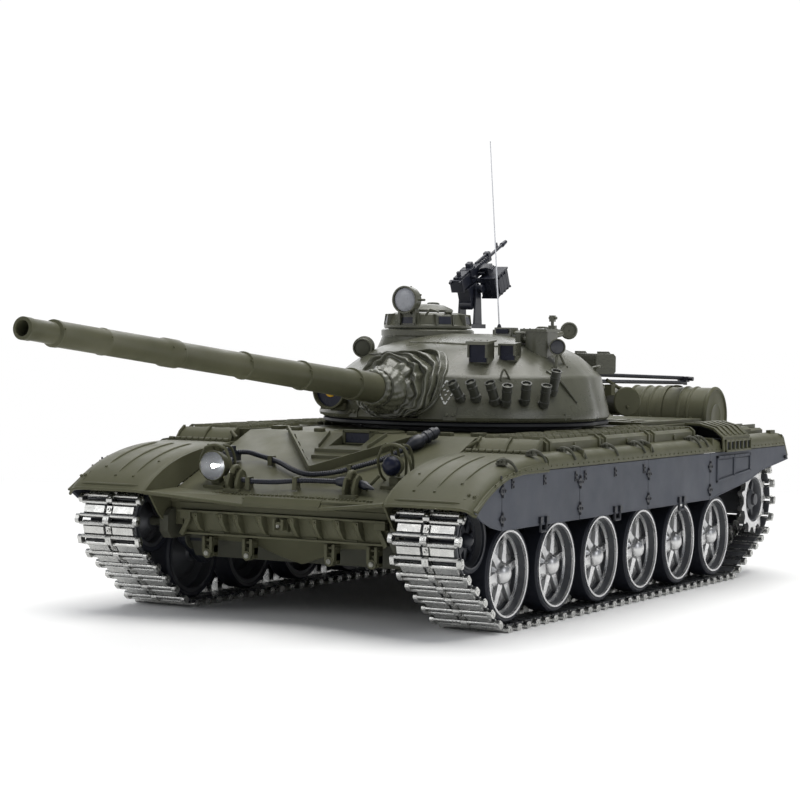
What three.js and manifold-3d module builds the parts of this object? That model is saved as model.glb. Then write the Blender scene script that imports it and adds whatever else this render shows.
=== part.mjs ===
// 1:16 scale radio-controlled main battle tank, in millimetres.
// +Z is up, the gun points along -Y and +X is the tank's own left side.
// All stations below are measured in the hull frame: y = 0 is halfway between the muzzle and the
// tips of the side skirts, z = 0 is the ground. The exported group moves that frame forward by
// ORIGIN_BACK, so that the origin lies under the middle of the whole model.

import * as THREE from 'three';
import { mergeVertices } from 'three/addons/utils/BufferGeometryUtils.js';
import Module from 'manifold-3d';

const wasm = await Module();
wasm.setup();

// ---- driving dimensions -------------------------------------------------------------------

const GAP = 0.3;
const HALF_LENGTH = 297.75;
const ORIGIN_BACK = 10.475;

const SKIRT_X = 112;
const SKIRT_THICK = 1.5;
const SKIRT_TOP = 75;
const SKIRT_BOTTOM = 49.8;

const TRACK_IN = 69;
const TRACK_OUT = 105.5;
const TRACK_THICK = 4.1;

const WHEELS = 6;
const WHEEL_PITCH = 53;
const WHEEL_1_Y = -63.85;
const WHEEL_R = 22.8;
const WHEEL_Z = WHEEL_R + TRACK_THICK + GAP;
const WHEEL_IN = 73;
const WHEEL_OUT = 103;
const AXLE_R = 2.2;
const AXLE_CLEARANCE = 0.4;

const ARM_BACK = 15;
const ARM_RISE = 9.7;
const ARM_IN = 64.5;
const ARM_OUT = 70;
const ARM_PIN_R = 3;

const IDLER = { y: -98.5, z: 45, r: 15.5 };
const SPROCKET = { y: 269.5, z: 43.5, r: 19.5, teeth: 13 };

const HULL_X = 65;
const TUB_X = 64;
const WALL = 2;
const NOSE_Y = -98.5;
const NOSE_LIP = 3.5;
const HULL_SPLIT = 55;
const HULL_FLOOR = 27;
const HULL_BACK = 280.5;
const DECK_Z = 88;
const GLACIS_SLOPE = 0.4;

const FENDER_IN = 65.5;
const FENDER_TOP = 82;
const FENDER_FRONT = -119.4;
const FENDER_BACK = 290;
const BOX_TOP = 90;

const RING_Y = 98;
const TURRET_R = 74;
const TURRET_BASE = 93.5;
const TURRET_TOP = 139.5;
const CHEEK_BULGE = 11;
const RING_HOLE_R = 61;

const TRUNNION = { y: 38, z: 106 };
const GUN_ELEVATION = THREE.MathUtils.degToRad(5.5);
const MUZZLE_Y = -297.32;
const GUN_LENGTH = (TRUNNION.y - MUZZLE_Y) / Math.cos(GUN_ELEVATION);

const CUPOLA = { x: -32, y: 105, r: 25, z: 141 };
const GUNNER = { x: 34, y: 110, r: 15, z: 138.4 };
const MG_PIVOT = { x: -34, y: 160, z: 165 };
const MG_ELEVATION = THREE.MathUtils.degToRad(24);

const DRUM = { y: 300, z: 90.3, r: 18.7, xIn: 11, xOut: 65 };

const HOSE_R = 1.25;
const HOSE_LONG = [
  [-50, -64],
  [-38, -60.5],
  [-30, -62.5],
  [-21, -66.5],
  [-10, -73],
  [0, -76.8],
  [8, -76],
  [16, -72.5],
  [25, -64.5],
  [31.5, -58],
  [37, -47],
  [43, -37],
  [46, -30],
];
const HOSE_CROSS = [
  [-50, -66],
  [-44, -76],
  [-36, -84],
  [-28, -89.5],
  [-11, -90],
  [4, -87],
  [22, -86.3],
  [32, -86.5],
  [42, -89.5],
];

// ---- materials ----------------------------------------------------------------------------

const finish = (color, roughness, metalness) => () =>
  new THREE.MeshStandardMaterial({ color, roughness, metalness });
const olive = finish(0x4a4d3c, 0.6, 0.1);
const rubber = finish(0x2e3239, 0.8, 0);
const steel = finish(0xb9b9b6, 0.35, 0.9);
const blackPlastic = finish(0x1b1e25, 0.5, 0);
const canvas = finish(0x50523f, 0.85, 0);
const glass = finish(0xcfd6da, 0.1, 0);
const battery = finish(0x23407a, 0.5, 0);
const circuit = finish(0x1f5a34, 0.6, 0);

// ---- solids -------------------------------------------------------------------------------

// Volume enclosed by a triangle mesh: negative when its faces point inwards.
function signedVolume(geometry) {
  const p = geometry.getAttribute('position');
  const index = geometry.getIndex();
  const a = new THREE.Vector3();
  const b = new THREE.Vector3();
  const c = new THREE.Vector3();
  let sum = 0;
  for (let i = 0; i < index.count; i += 3) {
    a.fromBufferAttribute(p, index.getX(i));
    b.fromBufferAttribute(p, index.getX(i + 1));
    c.fromBufferAttribute(p, index.getX(i + 2));
    sum += a.dot(b.cross(c));
  }
  return sum / 6;
}

// Shares the vertices of a geometry and turns its faces outwards.
function closed(geometry) {
  geometry.deleteAttribute('normal');
  geometry.deleteAttribute('uv');
  const merged = mergeVertices(geometry, 1e-4);
  const corners = Array.from(merged.getIndex().array);
  const kept = [];
  for (let i = 0; i < corners.length; i += 3) {
    const [a, b, c] = corners.slice(i, i + 3);
    if (a !== b && b !== c && c !== a) kept.push(a, b, c);
  }
  merged.setIndex(kept);
  if (signedVolume(merged) < 0) {
    for (let i = 0; i < kept.length; i += 3) {
      [kept[i + 1], kept[i + 2]] = [kept[i + 2], kept[i + 1]];
    }
    merged.setIndex(kept);
  }
  return merged;
}

function toSolid(geometry) {
  const merged = closed(geometry);
  return new wasm.Manifold(new wasm.Mesh({
    numProp: 3,
    vertProperties: new Float32Array(merged.getAttribute('position').array),
    triVerts: new Uint32Array(merged.getIndex().array),
  }));
}

function toGeometry(solid) {
  const mesh = solid.getMesh();
  const geometry = new THREE.BufferGeometry();
  geometry.setAttribute('position', new THREE.BufferAttribute(mesh.vertProperties, 3));
  geometry.setIndex(new THREE.BufferAttribute(mesh.triVerts, 1));
  return geometry;
}

const join = (...geometries) =>
  toGeometry(geometries.map(toSolid).reduce((sum, next) => sum.add(next)));

const cut = (geometry, ...tools) =>
  toGeometry(tools.map(toSolid).reduce((rest, tool) => rest.subtract(tool), toSolid(geometry)));

const common = (first, second) => toGeometry(toSolid(first).intersect(toSolid(second)));

// ---- building blocks ----------------------------------------------------------------------

function box(x, y, z) {
  const geometry = new THREE.BoxGeometry(x[1] - x[0], y[1] - y[0], z[1] - z[0]);
  return geometry.translate((x[0] + x[1]) / 2, (y[0] + y[1]) / 2, (z[0] + z[1]) / 2);
}

// Local axes of a shape drawn in the side view: its x runs along Y, its y along Z.
const SIDE_VIEW = new THREE.Matrix4().makeBasis(
  new THREE.Vector3(0, 1, 0),
  new THREE.Vector3(0, 0, 1),
  new THREE.Vector3(1, 0, 0),
);

const polygon = (points) => new THREE.Shape(points.map(([u, v]) => new THREE.Vector2(u, v)));

// A side-view shape, given thickness from x0 to x1.
function sideSlab(shape, x0, x1, curveSegments = 8) {
  const options = { depth: x1 - x0, bevelEnabled: false, curveSegments };
  return new THREE.ExtrudeGeometry(shape, options).applyMatrix4(SIDE_VIEW).translate(x0, 0, 0);
}

// A plan-view shape, given height from z0 to z1.
function planSlab(shape, z0, z1, curveSegments = 8) {
  const options = { depth: z1 - z0, bevelEnabled: false, curveSegments };
  return new THREE.ExtrudeGeometry(shape, options).translate(0, 0, z0);
}

// A round bar along X, between x0 and x1.
function crossBar(y, z, radius, x0, x1, sides = 16) {
  const bar = new THREE.CylinderGeometry(radius, radius, x1 - x0, sides);
  return bar.rotateZ(Math.PI / 2).translate((x0 + x1) / 2, y, z);
}

// A round bar along Z.
function post(x, y, radius, z0, z1, sides = 24) {
  const bar = new THREE.CylinderGeometry(radius, radius, z1 - z0, sides);
  return bar.rotateX(Math.PI / 2).translate(x, y, (z0 + z1) / 2);
}

// A round bar between two points.
function rod(from, to, radius, sides = 10) {
  const a = new THREE.Vector3(...from);
  const b = new THREE.Vector3(...to);
  const bar = new THREE.CylinderGeometry(radius, radius, a.distanceTo(b), sides);
  const turn = new THREE.Quaternion().setFromUnitVectors(
    new THREE.Vector3(0, 1, 0),
    b.clone().sub(a).normalize(),
  );
  const middle = a.clone().add(b).multiplyScalar(0.5);
  return bar.applyQuaternion(turn).translate(middle.x, middle.y, middle.z);
}

// A turned part on an axis along X: each point is [radius, x].
function turnedX(points, y, z, segments) {
  const profile = points.map(([radius, x]) => new THREE.Vector2(radius, x));
  return new THREE.LatheGeometry(profile, segments).rotateZ(-Math.PI / 2).translate(0, y, z);
}

// A turned part on a vertical axis: each point is [radius, z].
function turnedZ(points, x, y, segments) {
  const profile = points.map(([radius, z]) => new THREE.Vector2(radius, z));
  return new THREE.LatheGeometry(profile, segments).rotateX(Math.PI / 2).translate(x, y, 0);
}

// Left-hand pieces (side 1) are built as drawn, right-hand pieces (side -1) are mirrored.
const sided = (geometry, side) => (side > 0 ? geometry : geometry.scale(-1, 1, 1));

const model = new THREE.Group();
model.position.y = -ORIGIN_BACK;

function add(name, geometry, material) {
  const mesh = new THREE.Mesh(closed(geometry), material());
  mesh.name = name;
  model.add(mesh);
}

// ---- running gear -------------------------------------------------------------------------

const wheelY = (number) => WHEEL_1_Y + (number - 1) * WHEEL_PITCH;

// A twin-tyred road wheel: the groove between the tyres lets the guide horns pass.
function roadWheel(number) {
  const bore = AXLE_R + AXLE_CLEARANCE;
  const hornGroove = 15;
  return turnedX([
    [bore, WHEEL_IN],
    [WHEEL_R, WHEEL_IN],
    [WHEEL_R, 84],
    [hornGroove, 84],
    [hornGroove, 91],
    [WHEEL_R, 91],
    [WHEEL_R, WHEEL_OUT],
    [bore, 97],
    [bore, WHEEL_IN],
  ], wheelY(number), WHEEL_Z, 16);
}

// A trailing swing arm: pin into the hull in front, wheel axle behind.
function swingArm(number) {
  const y = wheelY(number);
  const bossR = 5;
  const pivotZ = WHEEL_Z + ARM_RISE;
  const pivotY = y - ARM_BACK;
  const reach = Math.hypot(ARM_BACK, ARM_RISE);
  const bar = new THREE.BoxGeometry(ARM_OUT - ARM_IN, reach, bossR * 1.5);
  bar.rotateX(-Math.atan2(ARM_RISE, ARM_BACK));
  bar.translate((ARM_IN + ARM_OUT) / 2, (y + pivotY) / 2, (WHEEL_Z + pivotZ) / 2);
  return join(
    bar,
    crossBar(pivotY, pivotZ, bossR, ARM_IN, ARM_OUT, 10),
    crossBar(y, WHEEL_Z, bossR, ARM_IN, ARM_OUT, 10),
    crossBar(pivotY, pivotZ, ARM_PIN_R, 56, ARM_IN + 1, 8),
    crossBar(y, WHEEL_Z, AXLE_R, ARM_OUT - 1, 96.5, 8),
  );
}

function idlerWheel() {
  const bore = AXLE_R + AXLE_CLEARANCE;
  return turnedX([
    [bore, 74],
    [IDLER.r, 74],
    [IDLER.r, 83],
    [11, 84],
    [11, 91],
    [IDLER.r, 92],
    [IDLER.r, 101],
    [bore, 97],
    [bore, 74],
  ], IDLER.y, IDLER.z, 16);
}

function toothedDisc() {
  const points = [];
  for (let tooth = 0; tooth < SPROCKET.teeth; tooth += 1) {
    for (const [part, radius] of [[-0.3, 16.5], [-0.12, SPROCKET.r], [0.12, SPROCKET.r], [0.3, 16.5]]) {
      const angle = ((tooth + part) / SPROCKET.teeth) * 2 * Math.PI;
      points.push([SPROCKET.y + radius * Math.cos(angle), SPROCKET.z + radius * Math.sin(angle)]);
    }
  }
  return polygon(points);
}

// The drive sprocket: a toothed disc and a plain one on a drum, and the shaft from the gearbox.
function driveSprocket() {
  return join(
    sideSlab(toothedDisc(), 98, 101),
    crossBar(SPROCKET.y, SPROCKET.z, 16, 74, 77, 16),
    crossBar(SPROCKET.y, SPROCKET.z, 11, 76.5, 98.5, 14),
    crossBar(SPROCKET.y, SPROCKET.z, 2.5, 48, 75, 10),
  );
}

// The belt path round four circles, counter-clockwise in the side view, offset inwards by inset.
function beltPath(inset, target) {
  const circles = [
    { y: IDLER.y, z: IDLER.z, r: 21 },
    { y: WHEEL_1_Y, z: WHEEL_Z, r: WHEEL_Z },
    { y: 226, z: 13, r: 13 },
    { y: SPROCKET.y, z: SPROCKET.z, r: 25 },
  ];
  const normals = circles.map((circle, i) => {
    const next = circles[(i + 1) % circles.length];
    const along = Math.atan2(next.z - circle.z, next.y - circle.y);
    const distance = Math.hypot(next.z - circle.z, next.y - circle.y);
    return along - Math.PI / 2 + Math.asin((circle.r - next.r) / distance);
  });
  circles.forEach((circle, i) => {
    const from = normals[(i + circles.length - 1) % circles.length];
    target.absarc(circle.y, circle.z, circle.r - inset, from, normals[i], false);
  });
  target.closePath();
  return target;
}

// The track: one closed band of links, hung round the wheels.
function trackBand() {
  const loop = beltPath(0, new THREE.Shape());
  loop.holes.push(beltPath(TRACK_THICK, new THREE.Path()));
  return sideSlab(loop, TRACK_IN, TRACK_OUT, 9);
}

// ---- hull ---------------------------------------------------------------------------------

const glacisZ = (y) => HULL_SPLIT + GAP + NOSE_LIP + GLACIS_SLOPE * (y - NOSE_Y);
const GLACIS_TOP_Y = NOSE_Y + (DECK_Z - HULL_SPLIT - GAP - NOSE_LIP) / GLACIS_SLOPE;

// The tub: an open tray with holes for the swing arm pins, the drive shafts and the switch.
function lowerHull() {
  const outside = polygon([
    [NOSE_Y + 1, HULL_SPLIT],
    [-80, HULL_FLOOR],
    [256, HULL_FLOOR],
    [278.5, 48],
    [HULL_BACK - 0.5, HULL_SPLIT],
  ]);
  const inside = polygon([
    [NOSE_Y + 3, HULL_SPLIT + 1],
    [-78.6, HULL_FLOOR + WALL],
    [255, HULL_FLOOR + WALL],
    [276, 49],
    [HULL_BACK - 2.8, HULL_SPLIT + 1],
  ]);
  const holes = [];
  for (let number = 1; number <= WHEELS; number += 1) {
    const pivotY = wheelY(number) - ARM_BACK;
    holes.push(crossBar(pivotY, WHEEL_Z + ARM_RISE, ARM_PIN_R + AXLE_CLEARANCE, -70, 70, 8));
  }
  holes.push(crossBar(SPROCKET.y, SPROCKET.z, 3, -70, 70, 12));
  holes.push(box([-3, 3], [140.5, 152.5], [HULL_FLOOR - 1, HULL_FLOOR + WALL + 1]));
  return cut(
    join(sideSlab(outside, -TUB_X, TUB_X), idlerBracket(1), idlerBracket(-1)),
    sideSlab(inside, -TUB_X + WALL, TUB_X - WALL),
    ...holes,
  );
}

// The ear that reaches forward from the tub's side wall, and the idler's axle on it.
function idlerBracket(side) {
  const ear = polygon([
    [-104, 40],
    [-101, 37],
    [-84, 37],
    [-84, 52],
    [-101, 52],
    [-104, 49],
  ]);
  const wall = sideSlab(ear, TUB_X - WALL, TUB_X);
  return sided(join(wall, crossBar(IDLER.y, IDLER.z, AXLE_R, TUB_X - 1, 96.5, 12)), side);
}

// The upper hull: sloped front plate, deck with the turret hole, and a V-shaped splash board.
function upperHull() {
  const outside = polygon([
    [NOSE_Y, HULL_SPLIT + GAP],
    [HULL_BACK, HULL_SPLIT + GAP],
    [HULL_BACK, DECK_Z - 2],
    [HULL_BACK - 2, DECK_Z],
    [GLACIS_TOP_Y, DECK_Z],
    [NOSE_Y, glacisZ(NOSE_Y)],
  ]);
  const inside = polygon([
    [NOSE_Y + WALL, HULL_SPLIT - 1],
    [HULL_BACK - WALL, HULL_SPLIT - 1],
    [HULL_BACK - WALL, DECK_Z - WALL],
    [GLACIS_TOP_Y + 0.5, DECK_Z - WALL],
    [NOSE_Y + WALL, glacisZ(NOSE_Y + WALL) - WALL - 0.2],
  ]);
  const shell = cut(
    sideSlab(outside, -HULL_X, HULL_X),
    sideSlab(inside, -HULL_X + WALL, HULL_X - WALL),
    post(0, RING_Y, RING_HOLE_R, DECK_Z - 5, DECK_Z + 5, 36),
  );
  return join(shell, splashBoard());
}

function splashBoard() {
  const apexY = -73.6;
  const endX = 41;
  const endY = -27;
  const thick = 1.6;
  const plan = polygon([
    [0, apexY],
    [endX, endY],
    [endX - thick, endY + thick],
    [0, apexY + 2 * thick],
    [-endX + thick, endY + thick],
    [-endX, endY],
  ]);
  const front = -80;
  const back = -25.6;
  const strip = polygon([
    [front, glacisZ(front) - 0.5],
    [back, glacisZ(back) - 0.5],
    [back, glacisZ(back) + 2.4],
    [front, glacisZ(front) + 4.4],
  ]);
  return common(planSlab(plan, 50, 110), sideSlab(strip, -60, 60));
}

// A fender: curved front mudguard, shelf with its riveted lip, and the long side tanks on top.
function fender() {
  const thick = 2;
  const back = -40;
  const guard = new THREE.Shape();
  guard.moveTo(back, FENDER_TOP);
  guard.quadraticCurveTo(-90, FENDER_TOP, FENDER_FRONT, 61);
  guard.lineTo(FENDER_FRONT + 1, 61 - thick);
  guard.quadraticCurveTo(-90, FENDER_TOP - thick, back, FENDER_TOP - thick);
  const tank = new THREE.Shape();
  tank.moveTo(68, FENDER_TOP - 1);
  tank.lineTo(104, FENDER_TOP - 1);
  tank.lineTo(104, BOX_TOP - 2);
  tank.lineTo(102, BOX_TOP);
  tank.lineTo(68, BOX_TOP);
  const tanks = new THREE.ExtrudeGeometry(tank, { depth: 194, bevelEnabled: false });
  tanks.rotateX(Math.PI / 2).translate(0, 166, 0);
  return join(
    sideSlab(guard, 66, SKIRT_X, 6),
    box([FENDER_IN, SKIRT_X - 2], [back - 1, FENDER_BACK], [FENDER_TOP - 2.3, FENDER_TOP]),
    box([109, SKIRT_X], [back - 30, FENDER_BACK], [SKIRT_TOP + GAP, FENDER_TOP - 0.6]),
    tanks,
    box([68, 100], [245, 286], [FENDER_TOP - 1, 86]),
  );
}

function skirt() {
  const outline = polygon([
    [-116.5, 59.6],
    [-110, 55.5],
    [-100, 51.8],
    [-89.5, SKIRT_BOTTOM],
    [170, SKIRT_BOTTOM],
    [231, 57],
    [254.6, 62.6],
    [HALF_LENGTH, 67.2],
    [292.8, SKIRT_TOP],
    [-68, SKIRT_TOP],
    [-85, 73.4],
    [-96.3, 69.8],
    [-106.8, 65],
  ]);
  return sideSlab(outline, SKIRT_X - SKIRT_THICK, SKIRT_X);
}

// The slotted engine deck over the radiator.
function engineDeck() {
  const slots = [];
  for (let row = 0; row < 7; row += 1) {
    const y = 226 + row * 7;
    slots.push(box([-54, 54], [y, y + 3.2], [DECK_Z, DECK_Z + 4]));
  }
  return cut(box([-63, 63], [186, 278], [DECK_Z + GAP, DECK_Z + 2.3]), ...slots);
}

function exhaustHood() {
  const section = polygon([
    [84, FENDER_TOP + GAP],
    [110, FENDER_TOP + GAP],
    [110, 84],
    [102, 89.5],
    [94, 91],
    [84, 91],
  ]);
  const hood = new THREE.ExtrudeGeometry(section, { depth: 66, bevelEnabled: false });
  return hood.rotateX(Math.PI / 2).translate(0, 240, 0);
}

function fuelDrum() {
  const { xIn, xOut, r } = DRUM;
  const chime = 1;
  return turnedX([
    [0, xIn],
    [r - chime, xIn],
    [r, xIn + chime],
    [r, xOut - chime],
    [r - chime, xOut],
    [0, xOut],
  ], DRUM.y, DRUM.z, 24);
}

// A headlight: a drum-shaped lamp on a stalk that follows the front plate.
function headlight() {
  const x = 49;
  const y = -87.5;
  const centreZ = 72.8;
  return join(
    rod([x, y - 4, centreZ], [x, y + 4, centreZ], 6.8, 16),
    box([x - 2, x + 2], [y - 2, y + 2], [glacisZ(y + 2) + GAP, centreZ]),
  );
}

// The twin gearbox, with a socket at each end for a sprocket's shaft.
function driveGearbox() {
  const outline = polygon([
    [228, 30.5],
    [252, 30.5],
    [273, 50],
    [273, 58],
    [228, 58],
  ]);
  return cut(
    sideSlab(outline, -61.5, 61.5),
    crossBar(SPROCKET.y, SPROCKET.z, 3, 44, 70, 12),
    crossBar(SPROCKET.y, SPROCKET.z, 3, -70, -44, 12),
  );
}

// A hose laid on the sloped front plate: its route is in plan, and height is its axis above the plate.
function plateHose(route, height, radius, steps) {
  const points = route.map(([x, y]) => new THREE.Vector3(x, y, glacisZ(y) + height));
  const section = new THREE.Shape();
  section.absarc(0, 0, radius, 0, 2 * Math.PI);
  const extrudePath = new THREE.CatmullRomCurve3(points, false, 'centripetal');
  return new THREE.ExtrudeGeometry(section, { steps, curveSegments: 4, extrudePath });
}

// The two ribbed hoses across the front plate and the junction box that they share.
function glacisHoses() {
  return join(
    plateHose(HOSE_LONG, 2.6, HOSE_R, 26),
    plateHose(HOSE_CROSS, 4.2, HOSE_R, 22),
    box([-54, -47], [-70, -60], [glacisZ(-60) + GAP, glacisZ(-60) + 5]),
  );
}

// ---- turret -------------------------------------------------------------------------------

// Bulges the front half of a turned shell into the two cheeks beside the gun.
function withCheeks(geometry) {
  const p = geometry.getAttribute('position');
  const fadeStart = 96;
  const fadeEnd = 128;
  for (let i = 0; i < p.count; i += 1) {
    const x = p.getX(i);
    const y = p.getY(i) - RING_Y;
    const radius = Math.hypot(x, y);
    if (radius > 1) {
      const facing = Math.max(0, -y / radius);
      const fade = THREE.MathUtils.clamp((fadeEnd - p.getZ(i)) / (fadeEnd - fadeStart), 0, 1);
      const stretch = 1 + (CHEEK_BULGE * facing ** 0.6 * fade) / radius;
      p.setXY(i, x * stretch, RING_Y + y * stretch);
    }
  }
  return geometry;
}

function turretShell() {
  const outside = withCheeks(turnedZ([
    [0, TURRET_BASE],
    [TURRET_R, TURRET_BASE],
    [75, 96],
    [70, 116],
    [67, 122],
    [59, 128],
    [45, 133],
    [22, 138],
    [0, TURRET_TOP],
  ], 0, RING_Y, 40));
  const inside = turnedZ([
    [0, TURRET_BASE - 1],
    [60, TURRET_BASE - 1],
    [60, 118],
    [40, 128],
    [0, 133],
  ], 0, RING_Y, 24);
  const solid = join(
    outside,
    post(CUPOLA.x, CUPOLA.y, CUPOLA.r, 120, CUPOLA.z, 24),
    post(GUNNER.x, GUNNER.y, GUNNER.r + 2, 120, GUNNER.z, 20),
  );
  return cut(solid, inside, box([-12, 12], [0, 50], [TURRET_BASE - 1, 124]));
}

const turretRing = () => turnedZ([
  [54, 80],
  [RING_HOLE_R - 0.6, 80],
  [RING_HOLE_R - 0.6, BOX_TOP + 2 * GAP],
  [73, BOX_TOP + 2 * GAP],
  [73, TURRET_BASE - GAP],
  [54, TURRET_BASE - GAP],
  [54, 80],
], 0, RING_Y, 36);

// A turned part on the gun axis: each point is [radius, distance in front of the trunnion].
function turnedGun(points, segments) {
  const profile = points.map(([radius, along]) => new THREE.Vector2(radius, along));
  return new THREE.LatheGeometry(profile, segments)
    .rotateX(Math.PI - GUN_ELEVATION)
    .translate(0, TRUNNION.y, TRUNNION.z);
}

// The gun: a tapered tube with sleeve bands and a fume extractor bulge, bored at the muzzle.
function gunBarrel() {
  const boreDepth = 40;
  return turnedGun([
    [0, -14],
    [7, -14],
    [8, 0],
    [7.6, 45],
    [7, 90],
    [6.4, 140],
    [6.2, 142],
    [5.7, 180],
    [5.9, 226],
    [6.4, 230],
    [6.4, 292],
    [5.5, 296],
    [5.2, 314],
    [4.5, 316],
    [4.5, GUN_LENGTH],
    [3.4, GUN_LENGTH],
    [3.4, GUN_LENGTH - boreDepth],
    [0, GUN_LENGTH - boreDepth],
  ], 16);
}

// The canvas boot between gun and turret, as its plain outer shape.
const mantletCover = () => turnedGun([
  [8.4, 31],
  [13, 31],
  [13.5, 38],
  [11.5, 46],
  [8.4, 47],
  [8.4, 31],
], 16);

function searchlight() {
  return join(
    rod([-38.5, 8, 108], [-38.5, 18, 108], 9.5, 20),
    rod([-38.5, 17, 108], [-38.5, 21, 108], 5, 12),
  );
}

// The commander's cupola: turning ring, lamp in front, machine gun cradle behind.
function cupola() {
  const ring = turnedZ([
    [12, CUPOLA.z + GAP],
    [23.5, CUPOLA.z + GAP],
    [23.5, CUPOLA.z + 2],
    [19, CUPOLA.z + 9],
    [12, CUPOLA.z + 9],
    [12, CUPOLA.z + GAP],
  ], CUPOLA.x, CUPOLA.y, 24);
  const cradleTop = MG_PIVOT.z + 3;
  const cheek = (x) => box([x, x + 1.5], [154, 168], [142, cradleTop]);
  return join(
    ring,
    rod([CUPOLA.x, 76, 157], [CUPOLA.x, 86, 157], 7.2, 20),
    box([CUPOLA.x - 2, CUPOLA.x + 2], [80, 85], [145, 153]),
    box([-41, -27], [124, 168], [142, 146]),
    cheek(-41),
    cheek(-28.5),
  );
}

const commanderHatch = () => turnedZ([
  [0, 150.4],
  [14, 150.4],
  [14, 152],
  [9, 154],
  [0, 154.6],
], CUPOLA.x, CUPOLA.y, 18);

const gunnerHatch = () => turnedZ([
  [0, GUNNER.z + GAP],
  [GUNNER.r, GUNNER.z + GAP],
  [GUNNER.r, GUNNER.z + 2],
  [11, GUNNER.z + 3.6],
  [0, GUNNER.z + 4],
], GUNNER.x, GUNNER.y, 18);

// The roof machine gun with its ammunition box, laid along +Y and tilted about its pivot.
function machineGun() {
  const gun = join(
    box([-3.3, 3.3], [-14, 12], [-3.4, 4]),
    rod([0, 11, 0.6], [0, 51.5, 0.6], 1.3, 10),
    box([2, 9], [11.5, 15], [-3, 1]),
    box([8.2, 21], [3, 27], [-12, 3]),
  );
  return gun.rotateX(MG_ELEVATION).translate(MG_PIVOT.x, MG_PIVOT.y, MG_PIVOT.z);
}

const turretPoint = (degrees, radius, z) => {
  const angle = THREE.MathUtils.degToRad(degrees);
  return [radius * Math.sin(angle), RING_Y - radius * Math.cos(angle), z];
};

// A band that follows the turret wall, between two angles measured from straight ahead.
function turretBand(from, to, inner, outer, z0, z1, steps) {
  const angles = Array.from({ length: steps + 1 }, (_, i) => from + ((to - from) * i) / steps);
  const edge = (radius) => angles.map((angle) => turretPoint(angle, radius, 0).slice(0, 2));
  return planSlab(polygon([...edge(outer), ...edge(inner).reverse()]), z0, z1);
}

// Seven smoke launcher tubes on their rail, round the left cheek.
function smokeLaunchers() {
  const tubes = [];
  for (let number = 0; number < 7; number += 1) {
    const degrees = 21 + number * 7.5;
    tubes.push(rod(turretPoint(degrees, 85, 101), turretPoint(degrees, 89, 114), 2.7, 8));
  }
  return join(turretBand(18, 69, 82.5, 85, 102, 105, 10), ...tubes);
}

const stowageBin = () => turretBand(130, 230, 71, 82, 117.5, 130, 10);

const snorkelTube = () => rod([66, 159.4, 102.5], [12, 211, 102.5], 8.3, 24);

function antenna() {
  return join(post(0, 130, 1.6, 137, 142, 12), rod([0, 130, 141], [-6, 127, 247], 0.5, 8));
}

// ---- assembly -----------------------------------------------------------------------------

for (const [side, word] of [[1, 'left'], [-1, 'right']]) {
  for (let number = 1; number <= WHEELS; number += 1) {
    add(`road_wheel_${word}_${number}`, sided(roadWheel(number), side), steel);
    add(`swing_arm_${word}_${number}`, sided(swingArm(number), side), blackPlastic);
  }
  add(`idler_wheel_${word}`, sided(idlerWheel(), side), steel);
  add(`drive_sprocket_${word}`, sided(driveSprocket(), side), steel);
  add(`track_${word}`, sided(trackBand(), side), steel);
  add(`fender_${word}`, sided(fender(), side), olive);
  add(`skirt_${word}`, sided(skirt(), side), rubber);
  add(`fuel_drum_${word}`, sided(fuelDrum(), side), olive);
  add(`headlight_${word}`, sided(headlight(), side), glass);
}

add('lower_hull', lowerHull(), olive);
add('upper_hull', upperHull(), olive);
add('engine_deck', engineDeck(), olive);
add('exhaust_hood', exhaustHood(), olive);
add('drive_gearbox', driveGearbox(), blackPlastic);
add('glacis_hoses', glacisHoses(), blackPlastic);
add('battery_pack', box([-22, 22], [0, 135], [HULL_FLOOR + WALL + GAP, 52]), battery);
add('circuit_board', box([-45, 45], [160, 220], [55, 57]), circuit);
add('power_switch', box([-2.5, 2.5], [141, 146], [25.5, 31]), blackPlastic);

add('turret_ring', turretRing(), blackPlastic);
add('turret_shell', turretShell(), olive);
add('gun_barrel', gunBarrel(), olive);
add('mantlet_cover', mantletCover(), canvas);
add('searchlight', searchlight(), olive);
add('cupola', cupola(), olive);
add('commander_hatch', commanderHatch(), olive);
add('gunner_hatch', gunnerHatch(), olive);
add('machine_gun', machineGun(), blackPlastic);
add('smoke_launchers', smokeLaunchers(), olive);
add('stowage_bin', stowageBin(), olive);
add('snorkel_tube', snorkelTube(), olive);
add('antenna', antenna(), steel);

const tank = new THREE.Group();
tank.add(model);

export default tank;
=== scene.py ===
"""The looks of a 1:16 scale radio-controlled battle tank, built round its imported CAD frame.

Shapes are written in the hull frame of the CAD source, in millimetres: +X is the tank's left side,
the gun points along -Y and +Z is up. place() moves them into the row frame, in metres.
"""

import math
import random
from math import cos, pi, radians, sin

import bmesh
import bpy
import numpy as np
from mathutils import Matrix, Vector, noise


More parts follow.
